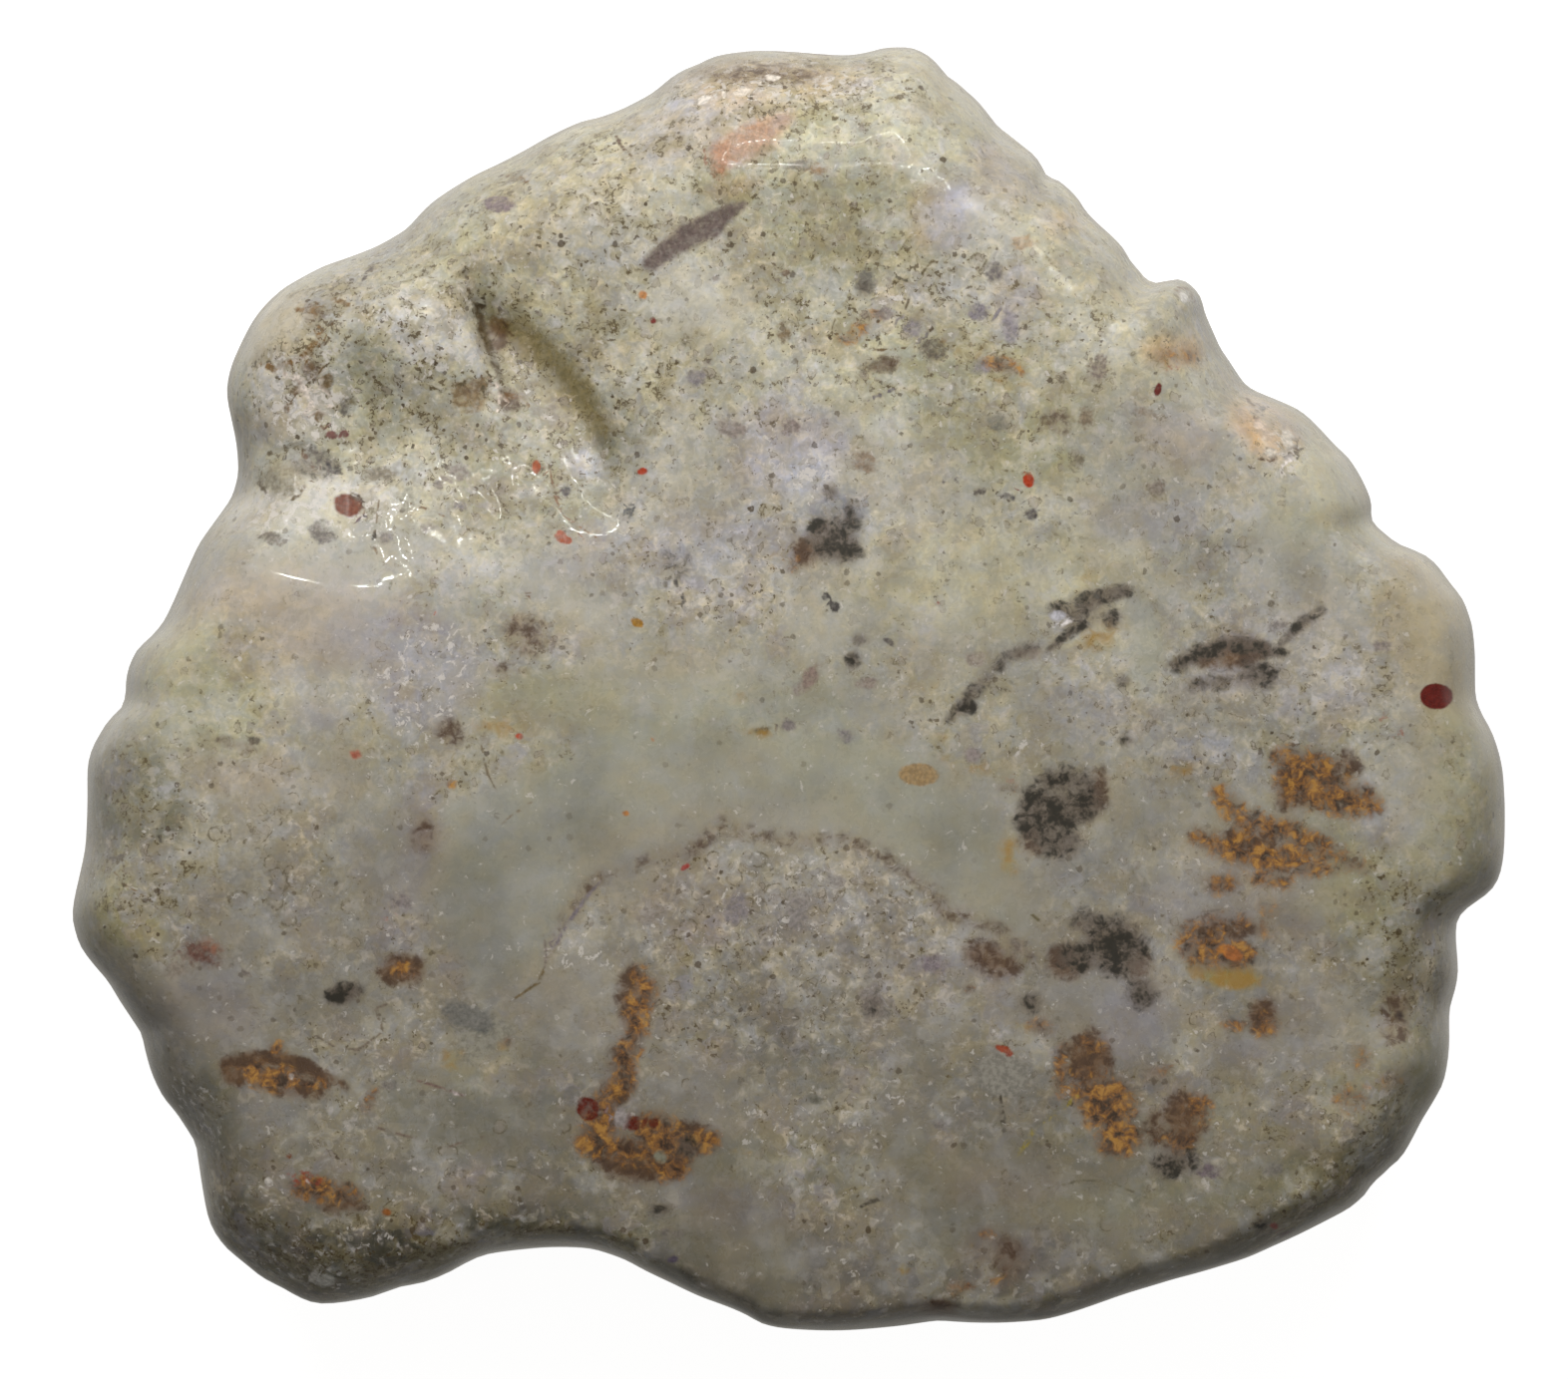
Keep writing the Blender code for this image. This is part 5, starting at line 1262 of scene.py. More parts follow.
density = np.full((len(points), 4), 0.0)
density[:, GRIT] = 0.42
density[:, STAIN] = 0.34
density[:, CRUST] = 0.08
density[:, CALM] = 0.12 + 0.78 * smooth(0.5 + 1.2 * grain(points, 4.0, 8, 3))
for kind, value, soft, shape in DENSITY:
    w = inside(shape, wu, wv, soft)
    if kind in (GRIT, STAIN):
        density[:, kind] += (value - density[:, kind]) * w
        density[:, CALM] *= 1 - 0.9 * w * smooth((value - 0.45) / 0.4)
    else:
        density[:, kind] = np.maximum(density[:, kind], value * w)

# The lower rim is less polished: olive and brown soil fills its pits. The same mask later carries painted shade on the
# lower flanks.
low_rim = smooth((1.9 - off) / 1.3 + 0.35 * grain(points, 1.1, 12, 2))
low_rim *= np.maximum(smooth((v - 960) / 160), smooth((250 - u) / 90) * smooth((v - 700) / 90))
density[:, GRIT] += (0.9 - density[:, GRIT]) * low_rim
density[:, STAIN] += (1.0 - density[:, STAIN]) * low_rim
density[:, CALM] *= 1 - 0.95 * low_rim
high_rim = smooth((1.9 - off) / 1.4 + 0.25 * grain(points, 1.6, 14, 2))
high_rim *= (1 - smooth((v - 860) / 120)) * (1 - smooth((250 - u) / 60) * smooth((v - 700) / 80))
high_rim *= 1 - inside((780, 84, 130, 40, 0), u, v, 30)
density[:, CALM] = np.maximum(density[:, CALM], 0.9 * high_rim)
density[:, GRIT] *= 1 - 0.7 * high_rim
density[:, STAIN] *= 1 - 0.7 * high_rim
# The upper rim is lifted towards warm cream: partly its own colour, partly painted light on the side that faces the
# light.
ground = ground + (WARM_CREAM - ground) * (0.55 * high_rim)[:, None]
# Painted shade: darker still along the lowest rim, which faces away from the light.
ground = ground * (1 - 0.30 * smooth((v - 1225) / 80))[:, None]

clouds = np.zeros((len(points), 5))
for kind, weight, soft, shape in CLOUDS:
    clouds[:, kind] = np.maximum(
        clouds[:, kind], weight * inside(shape, u + 0.45 * warp_u, v + 0.45 * warp_v, soft)
    )

# The underside and the flanks have markings of the same kinds, strewn by a
# fixed seed.
rng = np.random.default_rng(7)
for _ in range(46):
    at = rng.integers(0, len(points))
    while front[at] > 0.15:
        at = rng.integers(0, len(points))
    reach = rng.uniform(1.2, 5.5)
    far = np.linalg.norm((points - points[at]) * rng.uniform(0.6, 1.6, 3), axis=1)
    far = far + 0.5 * grain(points, 2.0, 30)
    colour = [LILAC_GREY, GREY_GREEN, CREAM, OLIVE_GREY, PINK_CREAM, OLIVE_CREAM, GREY, WHITE][
        rng.integers(0, 8)
    ]
    w = smooth((reach - far) / (0.5 * reach) + 0.5)[:, None] * rng.uniform(0.35, 0.8)
    back = back + (colour - back) * w
ground = back + (ground - back) * front[:, None]
high = smooth((points[:, 2] - (RIM_Z - 4.0)) / 6.0)  # 1 on the face, 0 low on the flanks
# Painted light: the outermost upper rim is lifted to a pale cream, as if lit from all round.
rim_painted_light = smooth((1.25 - off) / 1.1) * smooth(1.6 * high_rim) * high
ground = ground + (tone(240, 236, 218) - ground) * (0.88 * rim_painted_light)[:, None]
# Dark olive on the upper half of the lower flanks: partly soil in the pits, partly painted shade where the flank faces
# away from the light.
soil_and_shade = tone(88, 84, 62) + (tone(50, 47, 34) - tone(88, 84, 62)) * smooth(0.5 + grain(points, 1.6, 13, 3))[:, None]
ground = ground + (soil_and_shade - ground) * (0.84 * low_rim * smooth((v - 820) / 260) * high)[:, None]
back_clouds = np.zeros((len(points), 5))
for _ in range(34):
    at = rng.integers(0, len(points))
    while front[at] > 0.10:
        at = rng.integers(0, len(points))
    reach = rng.uniform(0.5, 1.9)
    far = np.linalg.norm((points - points[at]) * rng.uniform(0.6, 1.7, 3), axis=1)
    kind = [COAL, BROWN, BROWN, RUST, RUST, RUST, YELLOW, YELLOW, RED][rng.integers(0, 9)]
    w = rng.uniform(0.55, 1.0) * smooth((reach - far) / 0.7 + 0.5)
    back_clouds[:, kind] = np.maximum(back_clouds[:, kind], w)
clouds = clouds * front[:, None] + back_clouds * (1 - front)[:, None]
base_density = np.array([0.55, 0.60, 0.22, 0.10])
density = density * front[:, None] + base_density * (1 - front)[:, None]


def drawn(list_of_marks, extra):
    """What the nearest mark is at each point: its colour, two offsets and its
    radius, and its depth, softness and roughness."""
    colour = np.zeros((len(points), 3))
    place = np.zeros((len(points), 3))
    edge = np.tile([-60.0, 1.0, 1.0], (len(points), 1))
    for tint, s, r, shape in list_of_marks:
        f, a, b, radius = locate(shape, fine_u, fine_v)
        near = (f > edge[:, 0]) & (front > 0.8)
        edge[near] = np.stack([f, np.full_like(f, s), np.full_like(f, r)], 1)[near]
        place[near] = np.stack([a, b, radius], 1)[near]
        colour[near] = tint
    for at, reach, tint, squash in extra:
        away = np.linalg.norm((points - points[at]) * squash, axis=1) / PX
        near = (reach - away > edge[:, 0]) & (front < 0.5)
        edge[near] = np.stack([reach - away, 0 * away + 1.5, 0 * away + 1.2], 1)[near]
        place[near] = np.stack([away, 0 * away, 0 * away + reach], 1)[near]
        colour[near] = tint
    return colour, place, edge


def strewn(count, low, high, tints):
    out = []
    for _ in range(count):
        at = rng.integers(0, len(points))
        while front[at] > 0.15:
            at = rng.integers(0, len(points))
        out.append((at, rng.uniform(low, high), tints[rng.integers(0, len(tints))], rng.uniform(0.7, 1.4, 3)))
    return out


spots = drawn(SPOTS, strewn(60, 5, 15, [LILAC_GREY, GREY, TAN, OLIVE_GREY, PINK_BROWN, tone(122, 116, 112)]))
marks = drawn(MARKS, strewn(34, 2.5, 11, [BRICK, JASPER, MAROON, UMBER, SOOT, TAN]))


def put(name, kind, values):
    layer = mesh.attributes.new(name, kind, "POINT")
    layer.data.foreach_set(
        {"FLOAT_COLOR": "color", "FLOAT_VECTOR": "vector", "FLOAT": "value"}[kind],
        np.ascontiguousarray(values, dtype=np.float32).ravel(),
    )


ones = np.ones((len(points), 1))
put("ground", "FLOAT_COLOR", np.hstack([ground, ones]))
put("strewing", "FLOAT_COLOR", density)
put("clouds", "FLOAT_COLOR", clouds[:, :4])
put("red_cloud", "FLOAT", clouds[:, RED])
put("spot_colour", "FLOAT_COLOR", np.hstack([spots[0], ones]))
put("spot_place", "FLOAT_VECTOR", spots[1])
put("spot_edge", "FLOAT_VECTOR", spots[2])
put("mark_colour", "FLOAT_COLOR", np.hstack([marks[0], ones]))
put("mark_place", "FLOAT_VECTOR", marks[1])
put("mark_edge", "FLOAT_VECTOR", marks[2])
ring_place, ring_edge = drawn([(tone(90, 78, 54), 1.0, 1.0, ring) for ring in RINGS], [])[1:]
put("ring_place", "FLOAT_VECTOR", ring_place)
put("ring_near", "FLOAT", ring_edge[:, 0])
put("worn", "FLOAT", worn)


# ---------------------------------------------------------------- the material
class Graph:
    """A short way to write a node tree."""

    def __init__(self, tree):
        self.tree = tree
        self.tree.nodes.clear()

    def add(self, kind, inputs=(), **settings):
        node = self.tree.nodes.new(kind)
        for key, value in settings.items():
            setattr(node, key, value)
        for key, value in dict(inputs).items():
            self.set(node.inputs[key], value)
        return node

    def set(self, socket, value):
        if isinstance(value, bpy.types.NodeSocket):
            self.tree.links.new(value, socket)
        elif socket.type == "RGBA":
            socket.default_value = (*[float(c) for c in value], 1.0)
        elif socket.type == "VECTOR":
            socket.default_value = [float(c) for c in value]
        else:
            socket.default_value = float(value)

    def math(self, operation, a, b=0.0, c=0.0, clamp=False):
        return self.add(
            "ShaderNodeMath", {0: a, 1: b, 2: c}, operation=operation, use_clamp=clamp
        ).outputs[0]

    def step(self, x, low, high, to_low=0.0, to_high=1.0):
        """Smooth step of x from low to high."""
        return self.add(
            "ShaderNodeMapRange",
            {"Value": x, "From Min": low, "From Max": high, "To Min": to_low, "To Max": to_high},
            interpolation_type="SMOOTHSTEP",
        ).outputs[0]

    def mix(self, factor, a, b, blend="MIX"):
        node = self.add("ShaderNodeMix", data_type="RGBA", blend_type=blend)
        self.set(node.inputs[0], factor)
        self.set(node.inputs[6], a)
        self.set(node.inputs[7], b)
        return node.outputs[2]

    def noise(self, vector, size, detail=2, rough=0.5, distortion=0.0):
        """Noise with features about that many millimetres across, in standard
        deviations from its mean."""
        weights = [rough**k for k in range(detail + 1)]
        spread = 0.13 * math.sqrt(sum(w * w for w in weights)) / sum(weights)
        fac = self.add(
            "ShaderNodeTexNoise",
            {"Vector": vector, "Scale": 1.0 / size, "Detail": detail, "Roughness": rough, "Distortion": distortion},
            noise_dimensions="3D",
        ).outputs["Fac"]
        return self.math("DIVIDE", self.math("SUBTRACT", fac, 0.5), spread)

    def scaled(self, colour, by, blue=1.0):
        """The colour times 1 + by, its blue a little more or less so."""
        up = self.math("ADD", 1.0, by)
        far = self.math("ADD", 1.0, self.math("MULTIPLY", by, blue))
        grey = self.add("ShaderNodeCombineColor", {0: up, 1: up, 2: far}).outputs[0]
        return self.mix(1.0, colour, grey, "MULTIPLY")

    def cells(self, vector, size):
        node = self.add(
            "ShaderNodeTexVoronoi",
            {"Vector": vector, "Scale": 1.0 / size, "Randomness": 1.0},
            voronoi_dimensions="3D",
            feature="F1",
        )
        parts = self.add("ShaderNodeSeparateColor", {"Color": node.outputs["Color"]})
        return node.outputs["Distance"], parts.outputs[0], parts.outputs[1], parts.outputs[2]

    def read(self, name):
        return self.add("ShaderNodeAttribute", attribute_name=name, attribute_type="GEOMETRY")

    def shift(self, vector, by):
        return self.add("ShaderNodeVectorMath", {0: vector, 1: by}, operation="ADD").outputs[0]


material = bpy.data.materials.new("polished_coprolite")
material.use_nodes = True
g = Graph(material.node_tree)
place = g.add("ShaderNodeTexCoord").outputs["Object"]
mm = g.add("ShaderNodeVectorMath", {0: place, 1: (1000, 1000, 1000)}, operation="MULTIPLY").outputs[0]
wander = g.add(
    "ShaderNodeTexNoise", {"Vector": mm, "Scale": 1.6, "Detail": 1.0, "Roughness": 0.65}
).outputs["Color"]
wander = g.add("ShaderNodeVectorMath", {0: wander, 1: (0.5, 0.5, 0.5)}, operation="SUBTRACT").outputs[0]
wander = g.add("ShaderNodeVectorMath", {0: wander, "Scale": 0.55}, operation="SCALE").outputs[0]
bent = g.shift(mm, wander)

ground_read = g.read("ground")
dense = g.read("strewing")
dense_parts = g.add("ShaderNodeSeparateColor", {"Color": dense.outputs["Color"]}).outputs
grit, stain, crust = dense_parts[0], dense_parts[1], dense_parts[2]
calm = dense.outputs["Alpha"]
lively = g.math("SUBTRACT", 1.0, g.math("MULTIPLY", calm, 0.86))

# Mottling of the ground, broad to fine.
broad = g.noise(mm, 1.9, 2, 0.6)
middle = g.noise(g.shift(bent, (7, 3, 1)), 0.60, 3, 0.70)
fine = g.noise(g.shift(mm, (1, 9, 4)), 0.17, 1, 0.65)
colour = ground_read.outputs["Color"]
amount = g.math("MULTIPLY", g.step(broad, 0.0, 1.8), g.math("MULTIPLY_ADD", lively, 0.36, 0.07))
colour = g.mix(amount, colour, tone(150, 142, 138))
amount = g.math("MULTIPLY", g.step(broad, 0.0, -1.8), g.math("MULTIPLY_ADD", lively, 0.40, 0.07))
colour = g.mix(amount, colour, tone(202, 197, 180))


def clasts(colour, vector, size, share, strength):
    """Fragments of other stone: cells with a tint of their own."""
    node = g.add(
        "ShaderNodeTexVoronoi",
        {"Vector": vector, "Scale": 1.0 / size, "Randomness": 1.0},
        voronoi_dimensions="3D",
        feature="F1",
    )
    parts = g.add("ShaderNodeSeparateColor", {"Color": node.outputs["Color"]}).outputs
    tint = g.mix(g.step(parts[0], 0.28, 0.36), tone(142, 132, 128), tone(208, 202, 188))
    tint = g.mix(g.step(parts[0], 0.56, 0.62), tint, tone(158, 148, 116))
    tint = g.mix(g.step(parts[0], 0.74, 0.80), tint, tone(172, 164, 172))
    amount = g.math("MULTIPLY", g.step(parts[1], 1.0 - share, 1.0), strength)
    return g.mix(g.math("MULTIPLY", amount, lively), colour, tint)


far_bent = g.add("ShaderNodeVectorMath", {0: wander, "Scale": 2.4}, operation="SCALE").outputs[0]
far_bent = g.shift(mm, far_bent)
colour = clasts(colour, g.shift(far_bent, (15, 4, 3)), 1.20, 0.70, 0.33)
amount = g.math("MULTIPLY", g.step(middle, 0.9, 2.3), g.math("MULTIPLY", lively, 0.42))
colour = g.mix(amount, colour, tone(218, 212, 205))
swing = g.math("MULTIPLY", g.math("MULTIPLY_ADD", lively, 0.88, 0.12), g.math("MULTIPLY_ADD", g.step(grit, 0.35, 0.85), 0.9, 0.55))
amount = g.math("MULTIPLY", g.step(middle, -2.4, 2.4, -0.12, 0.12), swing)
colour = g.scaled(colour, amount)
amount = g.math("MULTIPLY", g.step(fine, -2.4, 2.4, -0.08, 0.08), g.math("MULTIPLY_ADD", lively, 0.8, 0.2))
colour = g.scaled(colour, amount, 1.1)

# Warmer and cooler, lighter and darker by turns.
def tinted(colour, by):
    warm = g.math("ADD", 1.0, by)
    some = g.math("ADD", 1.0, g.math("MULTIPLY", by, 0.45))
    cold = g.math("SUBTRACT", 1.0, g.math("MULTIPLY", by, 1.3))
    return g.mix(1.0, colour, g.add("ShaderNodeCombineColor", {0: warm, 1: some, 2: cold}).outputs[0], "MULTIPLY")


colour = tinted(colour, g.step(broad, -2.2, 2.2, -0.04, 0.04))
hue_mid = g.noise(g.shift(bent, (4, 31, 2)), 0.55, 2, 0.65)
amount = g.math("MULTIPLY", g.step(hue_mid, -2.4, 2.4, -0.055, 0.085), g.math("MULTIPLY_ADD", lively, 0.8, 0.2))
colour = tinted(colour, amount)
tone_wide = g.noise(g.shift(mm, (3, 12, 5)), 3.4, 2, 0.55)
colour = g.scaled(colour, g.step(tone_wide, -2.2, 2.2, -0.14, 0.14))

# Olive and brown stains: soft clouds, then fine wandering lines.
soil = g.noise(g.shift(bent, (3, 3, 8)), 1.25, 3, 0.74)
over = g.math("ADD", soil, g.math("MULTIPLY_ADD", stain, 2.4, -2.1))
veil = g.math("MULTIPLY", g.step(over, -0.5, 1.6), lively)
colour = g.mix(g.math("MULTIPLY", veil, 0.50), colour, tone(146, 136, 98))
threads = g.noise(g.shift(bent, (11, 2, 5)), 0.95, 2, 0.62)
thread = g.step(g.math("ABSOLUTE", threads), 0.22, 0.03)
amount = g.math("MULTIPLY", g.step(over, 0.0, 1.3), thread)
amount = g.math("MULTIPLY", amount, g.math("MULTIPLY", lively, 0.70))
colour = g.mix(amount, colour, tone(98, 84, 54))
flecks = g.noise(g.shift(mm, (6, 1, 14)), 0.25, 2, 0.74)
threshold = g.math("MULTIPLY_ADD", g.math("MAXIMUM", stain, grit), -0.8, 2.68)
threshold = g.math("SUBTRACT", threshold, g.math("MULTIPLY", g.step(over, -0.8, 1.6), 1.15))
fleck = g.step(g.math("SUBTRACT", flecks, threshold), -0.06, 0.28)
fleck = g.math("MULTIPLY", fleck, lively)
colour = g.mix(g.math("MULTIPLY", fleck, 0.82), colour, tone(88, 72, 42))


# Round sand grains cut through by the polish: a grey body and a dark skin.
def sand(colour, size, seed, low, high, share, body, body_amount, skin_amount, skin_width):
    distance, pick, girth, third = g.cells(g.shift(bent, seed), size)
    distance = g.math("ADD", distance, g.math("MULTIPLY", fine, 0.05))
    radius = g.math("MULTIPLY_ADD", girth, high - low, low)
    there = g.math("LESS_THAN", pick, g.math("MULTIPLY", grit, share))
    there = g.math("MULTIPLY", there, lively)
    within = g.math("MULTIPLY", there, g.step(g.math("SUBTRACT", distance, radius), 0.05, -0.06))
    skin = g.step(g.math("ABSOLUTE", g.math("SUBTRACT", distance, radius)), skin_width, 0.0)
    skin = g.math("MULTIPLY", g.math("MULTIPLY", skin, there), g.step(hue_mid, -1.0, 0.4))
    colour = g.mix(g.math("MULTIPLY", within, g.math("MULTIPLY_ADD", third, body_amount, 0.10)), colour, body)
    colour = g.mix(g.math("MULTIPLY", skin, skin_amount), colour, tone(86, 74, 52))
    return colour, skin


colour, skin_a = sand(colour, 0.54, (4, 8, 2), 0.15, 0.40, 0.62, tone(156, 147, 138), 0.50, 0.75, 0.07)

# Dark pinpoints.
distance, pick, girth, third = g.cells(g.shift(mm, (21, 4, 9)), 0.44)
radius = g.math("MULTIPLY_ADD", g.math("MULTIPLY", girth, girth), 0.24, 0.11)
share = g.math("ADD", g.math("MULTIPLY", grit, 0.42), g.math("MULTIPLY", g.step(over, -1.0, 1.5), 0.26))
distance = g.math("ADD", distance, g.math("MULTIPLY", fine, 0.035))
pin = g.math("MULTIPLY", g.step(g.math("SUBTRACT", distance, radius), 0.05, -0.05), g.math("LESS_THAN", pick, share))
pin = g.math("MULTIPLY", pin, g.math("MULTIPLY_ADD", lively, 0.72, 0.26))
colour = g.mix(g.math("MULTIPLY", pin, g.math("MULTIPLY_ADD", third, 0.65, 0.32)), colour, tone(76, 60, 38))

# Small pale flecks: painted glints, light caught in small pits.
pale = g.math("SUBTRACT", g.math("ADD", distance, g.math("MULTIPLY", fine, 0.05)), g.math("MULTIPLY_ADD", girth, 0.12, 0.08))
pale = g.math("MULTIPLY", g.step(pale, 0.06, -0.06), g.math("GREATER_THAN", pick, g.math("MULTIPLY_ADD", crust, -0.4, 0.92)))
pale = g.math("MULTIPLY", pale, g.math("MULTIPLY_ADD", lively, 0.8, 0.2))
colour = g.mix(g.math("MULTIPLY", pale, 0.75), colour, tone(222, 218, 214))

# White crust.
snow = g.noise(g.shift(bent, (5, 15, 1)), 0.40, 3, 0.72)
threshold = g.math("MULTIPLY_ADD", crust, -2.3, 2.3)
white = g.step(g.math("SUBTRACT", snow, threshold), -0.2, 0.8)
white = g.math("MULTIPLY", white, g.math("MULTIPLY_ADD", crust, 0.35, 0.50))
colour = g.mix(white, colour, tone(226, 222, 218))

# Grains with a soft edge, under the clouds.
ragged = g.noise(g.shift(mm, (8, 8, 3)), 0.30, 2, 0.7)
gaps = hue_mid


def radius_of(place_name):
    return g.add("ShaderNodeSeparateXYZ", {0: g.read(place_name).outputs["Vector"]}).outputs[2]


def depth_in(place_name, ring=False):
    """How deep a point lies in the nearest mark, which for a ring is its distance from the mark's outline. The ring
    argument is not used."""
    at = g.add("ShaderNodeSeparateXYZ", {0: g.read(place_name).outputs["Vector"]}).outputs
    away = g.math("SQRT", g.math("MULTIPLY_ADD", at[0], at[0], g.math("MULTIPLY", at[1], at[1])))
    return g.math("SUBTRACT", at[2], away)


def placed(colour, name, reach, thin):
    """The placed grains, their edges pulled about by the ragged noise, and worn
    thin here and there."""
    tint = g.read(name + "_colour").outputs["Color"]
    edge = g.add("ShaderNodeSeparateXYZ", {0: g.read(name + "_edge").outputs["Vector"]}).outputs
    depth = g.math("ADD", depth_in(name + "_place"), g.math("MULTIPLY", g.math("MULTIPLY", ragged, reach), edge[2]))
    mask = g.step(g.math("DIVIDE", depth, edge[1]), -1.0, 1.0)
    mask = g.math("MULTIPLY", mask, g.step(edge[0], -9.0, -6.0))
    holes = g.math("MULTIPLY", g.step(ragged, 1.5, -2.0, 0.0, 1.0 - thin), g.step(edge[2], 0.7, 1.6))
    mask = g.math("MULTIPLY", mask, g.math("SUBTRACT", 1.0, holes))
    slim = g.math("MULTIPLY", g.step(radius_of(name + "_place"), 4.0, 2.2), g.step(gaps, 0.5, -0.5))
    mask = g.math("MULTIPLY", mask, g.math("SUBTRACT", 1.0, g.math("MULTIPLY", slim, 0.9)))
    tint = g.scaled(tint, g.step(fine, -2.0, 2.0, -0.2, 0.2))
    return g.mix(mask, colour, tint), mask


ring_depth = depth_in("ring_place")
ring_guard = g.step(g.read("ring_near").outputs["Fac"], -9.0, -6.0)
ring_depth = g.math("ADD", ring_depth, g.math("MULTIPLY", gaps, 0.9))
ring_line = g.math("ADD", g.math("ABSOLUTE", ring_depth), g.math("MULTIPLY", ragged, 0.5))
ring_line = g.math("MULTIPLY", g.step(ring_line, 2.4, 0.6), ring_guard)
ring_core = g.math("MULTIPLY", g.step(ring_depth, 0.0, 3.0), ring_guard)
colour = g.mix(g.math("MULTIPLY", ring_core, 0.22), colour, tone(160, 150, 140))
colour = g.mix(g.math("MULTIPLY", ring_line, g.math("MULTIPLY", g.step(ragged, -1.0, 1.0, 0.15, 0.75), g.step(gaps, -0.9, 0.5))), colour, tone(92, 80, 56))
colour, spot = placed(colour, "spot", 0.35, 0.55)

# Clouds of mineral. Each weight is broken up by its own noise.
cloud = g.read("clouds")
weights = g.add("ShaderNodeSeparateColor", {"Color": cloud.outputs["Color"]}).outputs
coal_w, brown_w, rust_w, yellow_w = weights[0], weights[1], weights[2], cloud.outputs["Alpha"]
red_w = g.read("red_cloud").outputs["Fac"]


def broken(weight, seed, size, detail, rough, reach, low, high):
    """A cloud's weight broken up by noise: a mask, and the noise."""
    n = g.noise(g.shift(bent, seed), size, detail, rough)
    pull = g.math("MULTIPLY", g.math("ADD", n, g.math("MULTIPLY", fine, 0.22)), g.math("MULTIPLY", g.step(weight, 0.0, 0.35), reach))
    return g.step(g.math("ADD", weight, pull), low, high), n


yellow, yn = broken(yellow_w, (2, 7, 9), 0.8, 2, 0.65, 0.12, 0.12, 1.0)
colour = g.mix(g.math("MULTIPLY", yellow, 0.85), colour, g.mix(g.step(yn, -1.5, 1.5), tone(166, 152, 84), tone(170, 134, 58)))
halo = g.step(g.math("ADD", g.math("MAXIMUM", rust_w, brown_w), g.math("MULTIPLY", middle, 0.06)), 0.0, 0.8)
colour = g.mix(g.math("MULTIPLY", halo, 0.66), colour, tone(120, 98, 78))
brown, bn = broken(brown_w, (12, 3, 2), 0.65, 3, 0.68, 0.20, 0.04, 0.85)
colour = g.mix(g.math("MULTIPLY", brown, 0.88), colour, g.mix(g.step(bn, -1.5, 1.5), tone(118, 90, 64), tone(84, 62, 46)))
rust, rn = broken(rust_w, (5, 11, 13), 0.55, 3, 0.70, 0.22, 0.06, 1.05)
hue = g.noise(g.shift(bent, (17, 6, 2)), 0.50, 3, 0.70)
hue = g.math("ADD", hue, g.math("MULTIPLY", rn, 0.35))
rust_colour = g.mix(g.step(hue, -2.0, -0.3), tone(64, 50, 40), tone(116, 84, 58))
rust_colour = g.mix(g.step(hue, -0.7, 0.8), rust_colour, tone(160, 112, 56))
rust_colour = g.mix(g.step(hue, 0.6, 1.9), rust_colour, tone(194, 144, 70))
colour = g.mix(g.math("MULTIPLY", rust, 0.90), colour, rust_colour)
red = g.step(g.math("ADD", red_w, g.math("MULTIPLY", g.math("MULTIPLY", ragged, g.step(red_w, 0.0, 0.35)), 0.2)), 0.2, 0.9)
colour = g.mix(g.math("MULTIPLY", red, 0.85), colour, tone(160, 74, 52))
halo = g.step(coal_w, 0.0, 0.8)
colour = g.mix(g.math("MULTIPLY", halo, 0.70), colour, tone(106, 95, 87))
coal, cn = broken(coal_w, (10, 39, 4), 0.70, 3, 0.70, 0.22, 0.0, 1.0)
soot = g.math("ADD", g.math("MULTIPLY", cn, 0.7), g.math("MULTIPLY_ADD", coal_w, 1.6, g.math("MULTIPLY", fine, 0.25)))
soot = g.mix(g.step(soot, -0.6, 2.4), tone(116, 104, 92), tone(44, 42, 35))
colour = g.mix(g.math("MULTIPLY", coal, 0.94), colour, soot)

colour, mark = placed(colour, "mark", 0.30, 0.60)

# Gloss and relief.
worn_read = g.read("worn").outputs["Fac"]
rough = g.math("MULTIPLY_ADD", g.step(middle, -2.0, 2.0), 0.10, 0.22)
rough = g.math("ADD", rough, g.math("MULTIPLY", white, 0.12))
rough = g.math("ADD", rough, g.math("MULTIPLY", coal, 0.06))
rough = g.math("ADD", rough, g.math("MULTIPLY", worn_read, 0.08))
height = g.math("MULTIPLY", g.noise(g.shift(mm, (7, 3, 1)), 0.50, 1, 0.6), 0.10)
height = g.math("MULTIPLY", height, g.math("MULTIPLY_ADD", worn_read, 1.6, g.math("MULTIPLY_ADD", lively, 0.55, 0.10)))
bump = g.add("ShaderNodeBump", {"Strength": 0.35, "Distance": 0.00006, "Height": height}).outputs[0]
shader = g.add(
    "ShaderNodeBsdfPrincipled",
    {"Base Color": colour, "Roughness": rough, "Normal": bump},
)
shader.inputs["Metallic"].default_value = 0.0
shader.inputs["IOR"].default_value = 1.54
shader.inputs["Coat Weight"].default_value = 0.45
shader.inputs["Coat Roughness"].default_value = 0.035
shader.inputs["Coat IOR"].default_value = 1.5
output = g.add("ShaderNodeOutputMaterial", {"Surface": shader.outputs[0]})
mesh.materials.append(material)

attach(stone, "root")
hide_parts("coprolite")

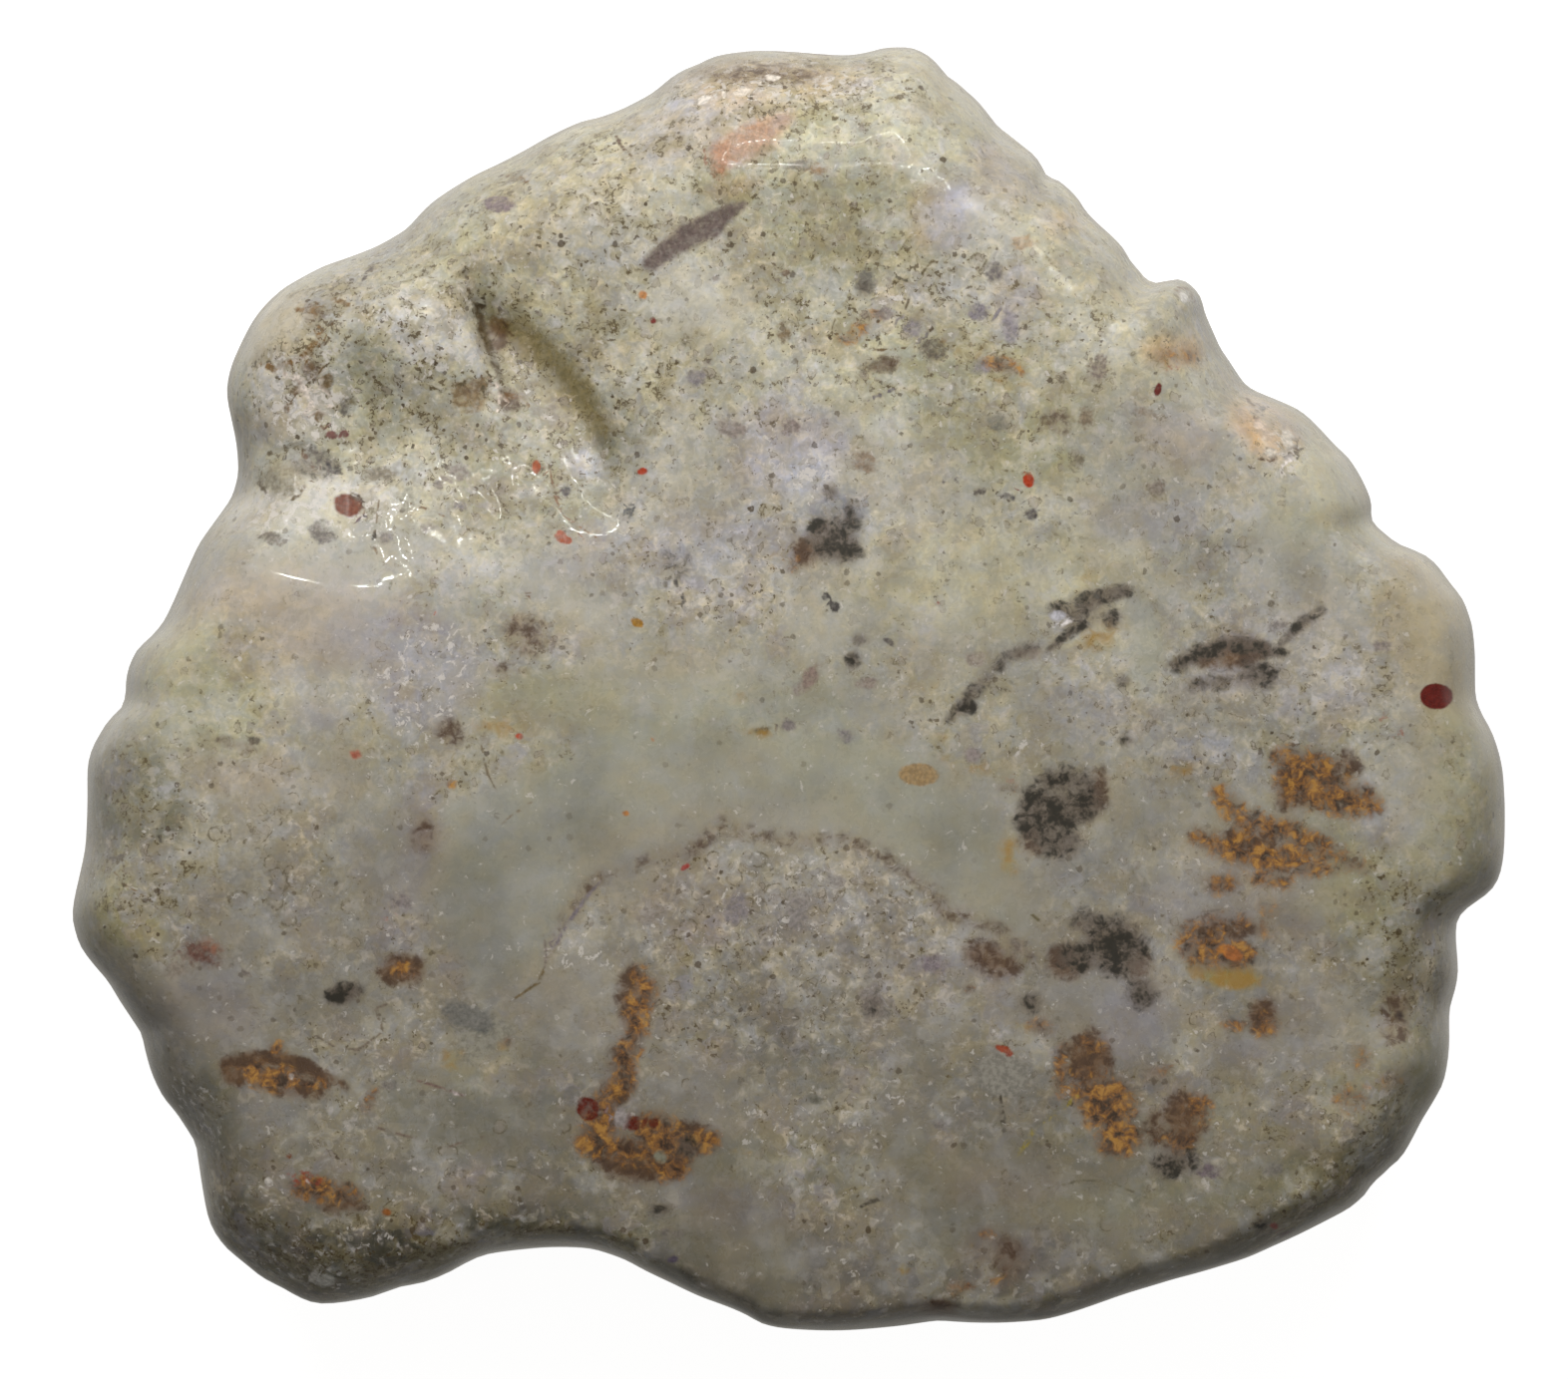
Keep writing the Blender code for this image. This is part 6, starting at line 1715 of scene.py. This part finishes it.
# ------------------------------------------------------- floor, light and camera
floor_mesh = bpy.data.meshes.new("floor")
fb = bmesh.new()
bmesh.ops.create_grid(fb, x_segments=4, y_segments=4, size=4.0)
fb.to_mesh(floor_mesh)
fb.free()
floor = bpy.data.objects.new("floor", floor_mesh)
bpy.context.scene.collection.objects.link(floor)
paper = bpy.data.materials.new("pale_paper")
paper.use_nodes = True
p = Graph(paper.node_tree)
seen_white = p.add("ShaderNodeBsdfPrincipled", {"Base Color": (0.40, 0.40, 0.40), "Roughness": 0.9, "Specular IOR Level": 0.1})
p.set(seen_white.inputs["Emission Color"], (1, 1, 1))
seen_white.inputs["Emission Strength"].default_value = 0.92
bounce = p.add("ShaderNodeEmission", {"Color": (0.98, 0.96, 0.93), "Strength": 0.24})
turn = p.add("ShaderNodeMixShader", {0: p.add("ShaderNodeLightPath").outputs["Is Camera Ray"], 1: bounce.outputs[0], 2: seen_white.outputs[0]})
p.add("ShaderNodeOutputMaterial", {"Surface": turn.outputs[0]})
floor_mesh.materials.append(paper)
floor.visible_glossy = False
floor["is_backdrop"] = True

world = bpy.data.worlds.new("studio")
bpy.context.scene.world = world
world.use_nodes = True
w = Graph(world.node_tree)
path = w.add("ShaderNodeLightPath").outputs
soft_light = w.add("ShaderNodeBackground", {"Color": (0.98, 0.96, 0.93), "Strength": 0.18})
seen = w.add("ShaderNodeBackground", {"Color": (1.0, 1.0, 1.0), "Strength": 1.0})
upward = w.add("ShaderNodeSeparateXYZ", {0: w.add("ShaderNodeTexCoord").outputs["Generated"]}).outputs[2]
onward = w.add("ShaderNodeSeparateXYZ", {0: w.add("ShaderNodeTexCoord").outputs["Generated"]}).outputs[1]
walls = w.math("MULTIPLY", w.step(upward, 0.75, 0.15, 0.30, 0.80), w.step(onward, -0.40, 0.45, 0.15, 1.0))
mirrored = w.add("ShaderNodeBackground", {"Color": (1.0, 0.97, 0.90), "Strength": walls})
one = w.add("ShaderNodeMixShader", {0: path["Is Glossy Ray"], 1: soft_light.outputs[0], 2: mirrored.outputs[0]})
both = w.add("ShaderNodeMixShader", {0: path["Is Camera Ray"], 1: one.outputs[0], 2: seen.outputs[0]})
w.add("ShaderNodeOutputWorld", {"Surface": both.outputs[0]})


def area_light(name, at, size, watts, glossy, colour=(1, 1, 1)):
    data = bpy.data.lights.new(name, "AREA")
    data.shape = "RECTANGLE"
    data.size, data.size_y = size
    data.energy = watts
    data.color = colour
    lamp = bpy.data.objects.new(name, data)
    bpy.context.scene.collection.objects.link(lamp)
    lamp.location = at
    lamp.rotation_mode = "QUATERNION"
    lamp.rotation_quaternion = (-Vector(at)).to_track_quat("-Z", "Y")
    lamp.visible_camera = False
    lamp.visible_glossy = glossy
    return lamp


WARM = (1.0, 0.955, 0.89)
area_light("window", (-0.010, 0.132, 0.140), (0.20, 0.12), 0.321, False, WARM)
area_light("fill", (0.05, -0.02, 0.45), (0.5, 0.5), 0.12, False, WARM)

# A lamp ring of separate diodes, seen only in the polish.
ring = bpy.data.meshes.new("lamp_ring")
rb = bmesh.new()
RING_AT, RING_R, DIODES = Vector((0.005, 0.300, 0.370)), 0.110, 64
aim = (-RING_AT).to_track_quat("-Z", "Y").to_matrix()
for k in range(DIODES):
    a = 2 * math.pi * k / DIODES
    middle_of = RING_AT + aim @ Vector((RING_R * math.cos(a), RING_R * math.sin(a), 0))
    corners = [
        rb.verts.new(middle_of + aim @ Vector((0.0019 * i, 0.0019 * j, 0)))
        for i, j in ((-1, -1), (1, -1), (1, 1), (-1, 1))
    ]
    rb.faces.new(corners)
rb.to_mesh(ring)
rb.free()
lamp_ring = bpy.data.objects.new("lamp_ring", ring)
bpy.context.scene.collection.objects.link(lamp_ring)
glow = bpy.data.materials.new("diode_glow")
glow.use_nodes = True
q = Graph(glow.node_tree)
light = q.add("ShaderNodeEmission", {"Color": (0.95, 1.0, 0.95), "Strength": 130.0})
q.add("ShaderNodeOutputMaterial", {"Surface": light.outputs[0]})
ring.materials.append(glow)
lamp_ring.visible_camera = False
lamp_ring.visible_diffuse = False
lamp_ring.visible_shadow = False
lamp_ring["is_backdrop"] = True

camera_data = bpy.data.cameras.new("camera")
camera = bpy.data.objects.new("camera", camera_data)
bpy.context.scene.collection.objects.link(camera)
camera_data.sensor_width = 36.0
camera_data.lens = 36.0 * CAMERA_HEIGHT / (FRAME_W * PX)
camera_data.clip_start, camera_data.clip_end = 0.01, 20.0
camera.location = (
    (FRAME_W / 2 - MID_U) * PX * 0.001,
    (MID_V - FRAME_H / 2) * PX * 0.001,
    camera_z * 0.001,
)
camera.rotation_euler = (0.0, 0.0, 0.0)
bpy.context.scene.camera = camera
bpy.context.scene.view_settings.view_transform = "Standard"

low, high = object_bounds()
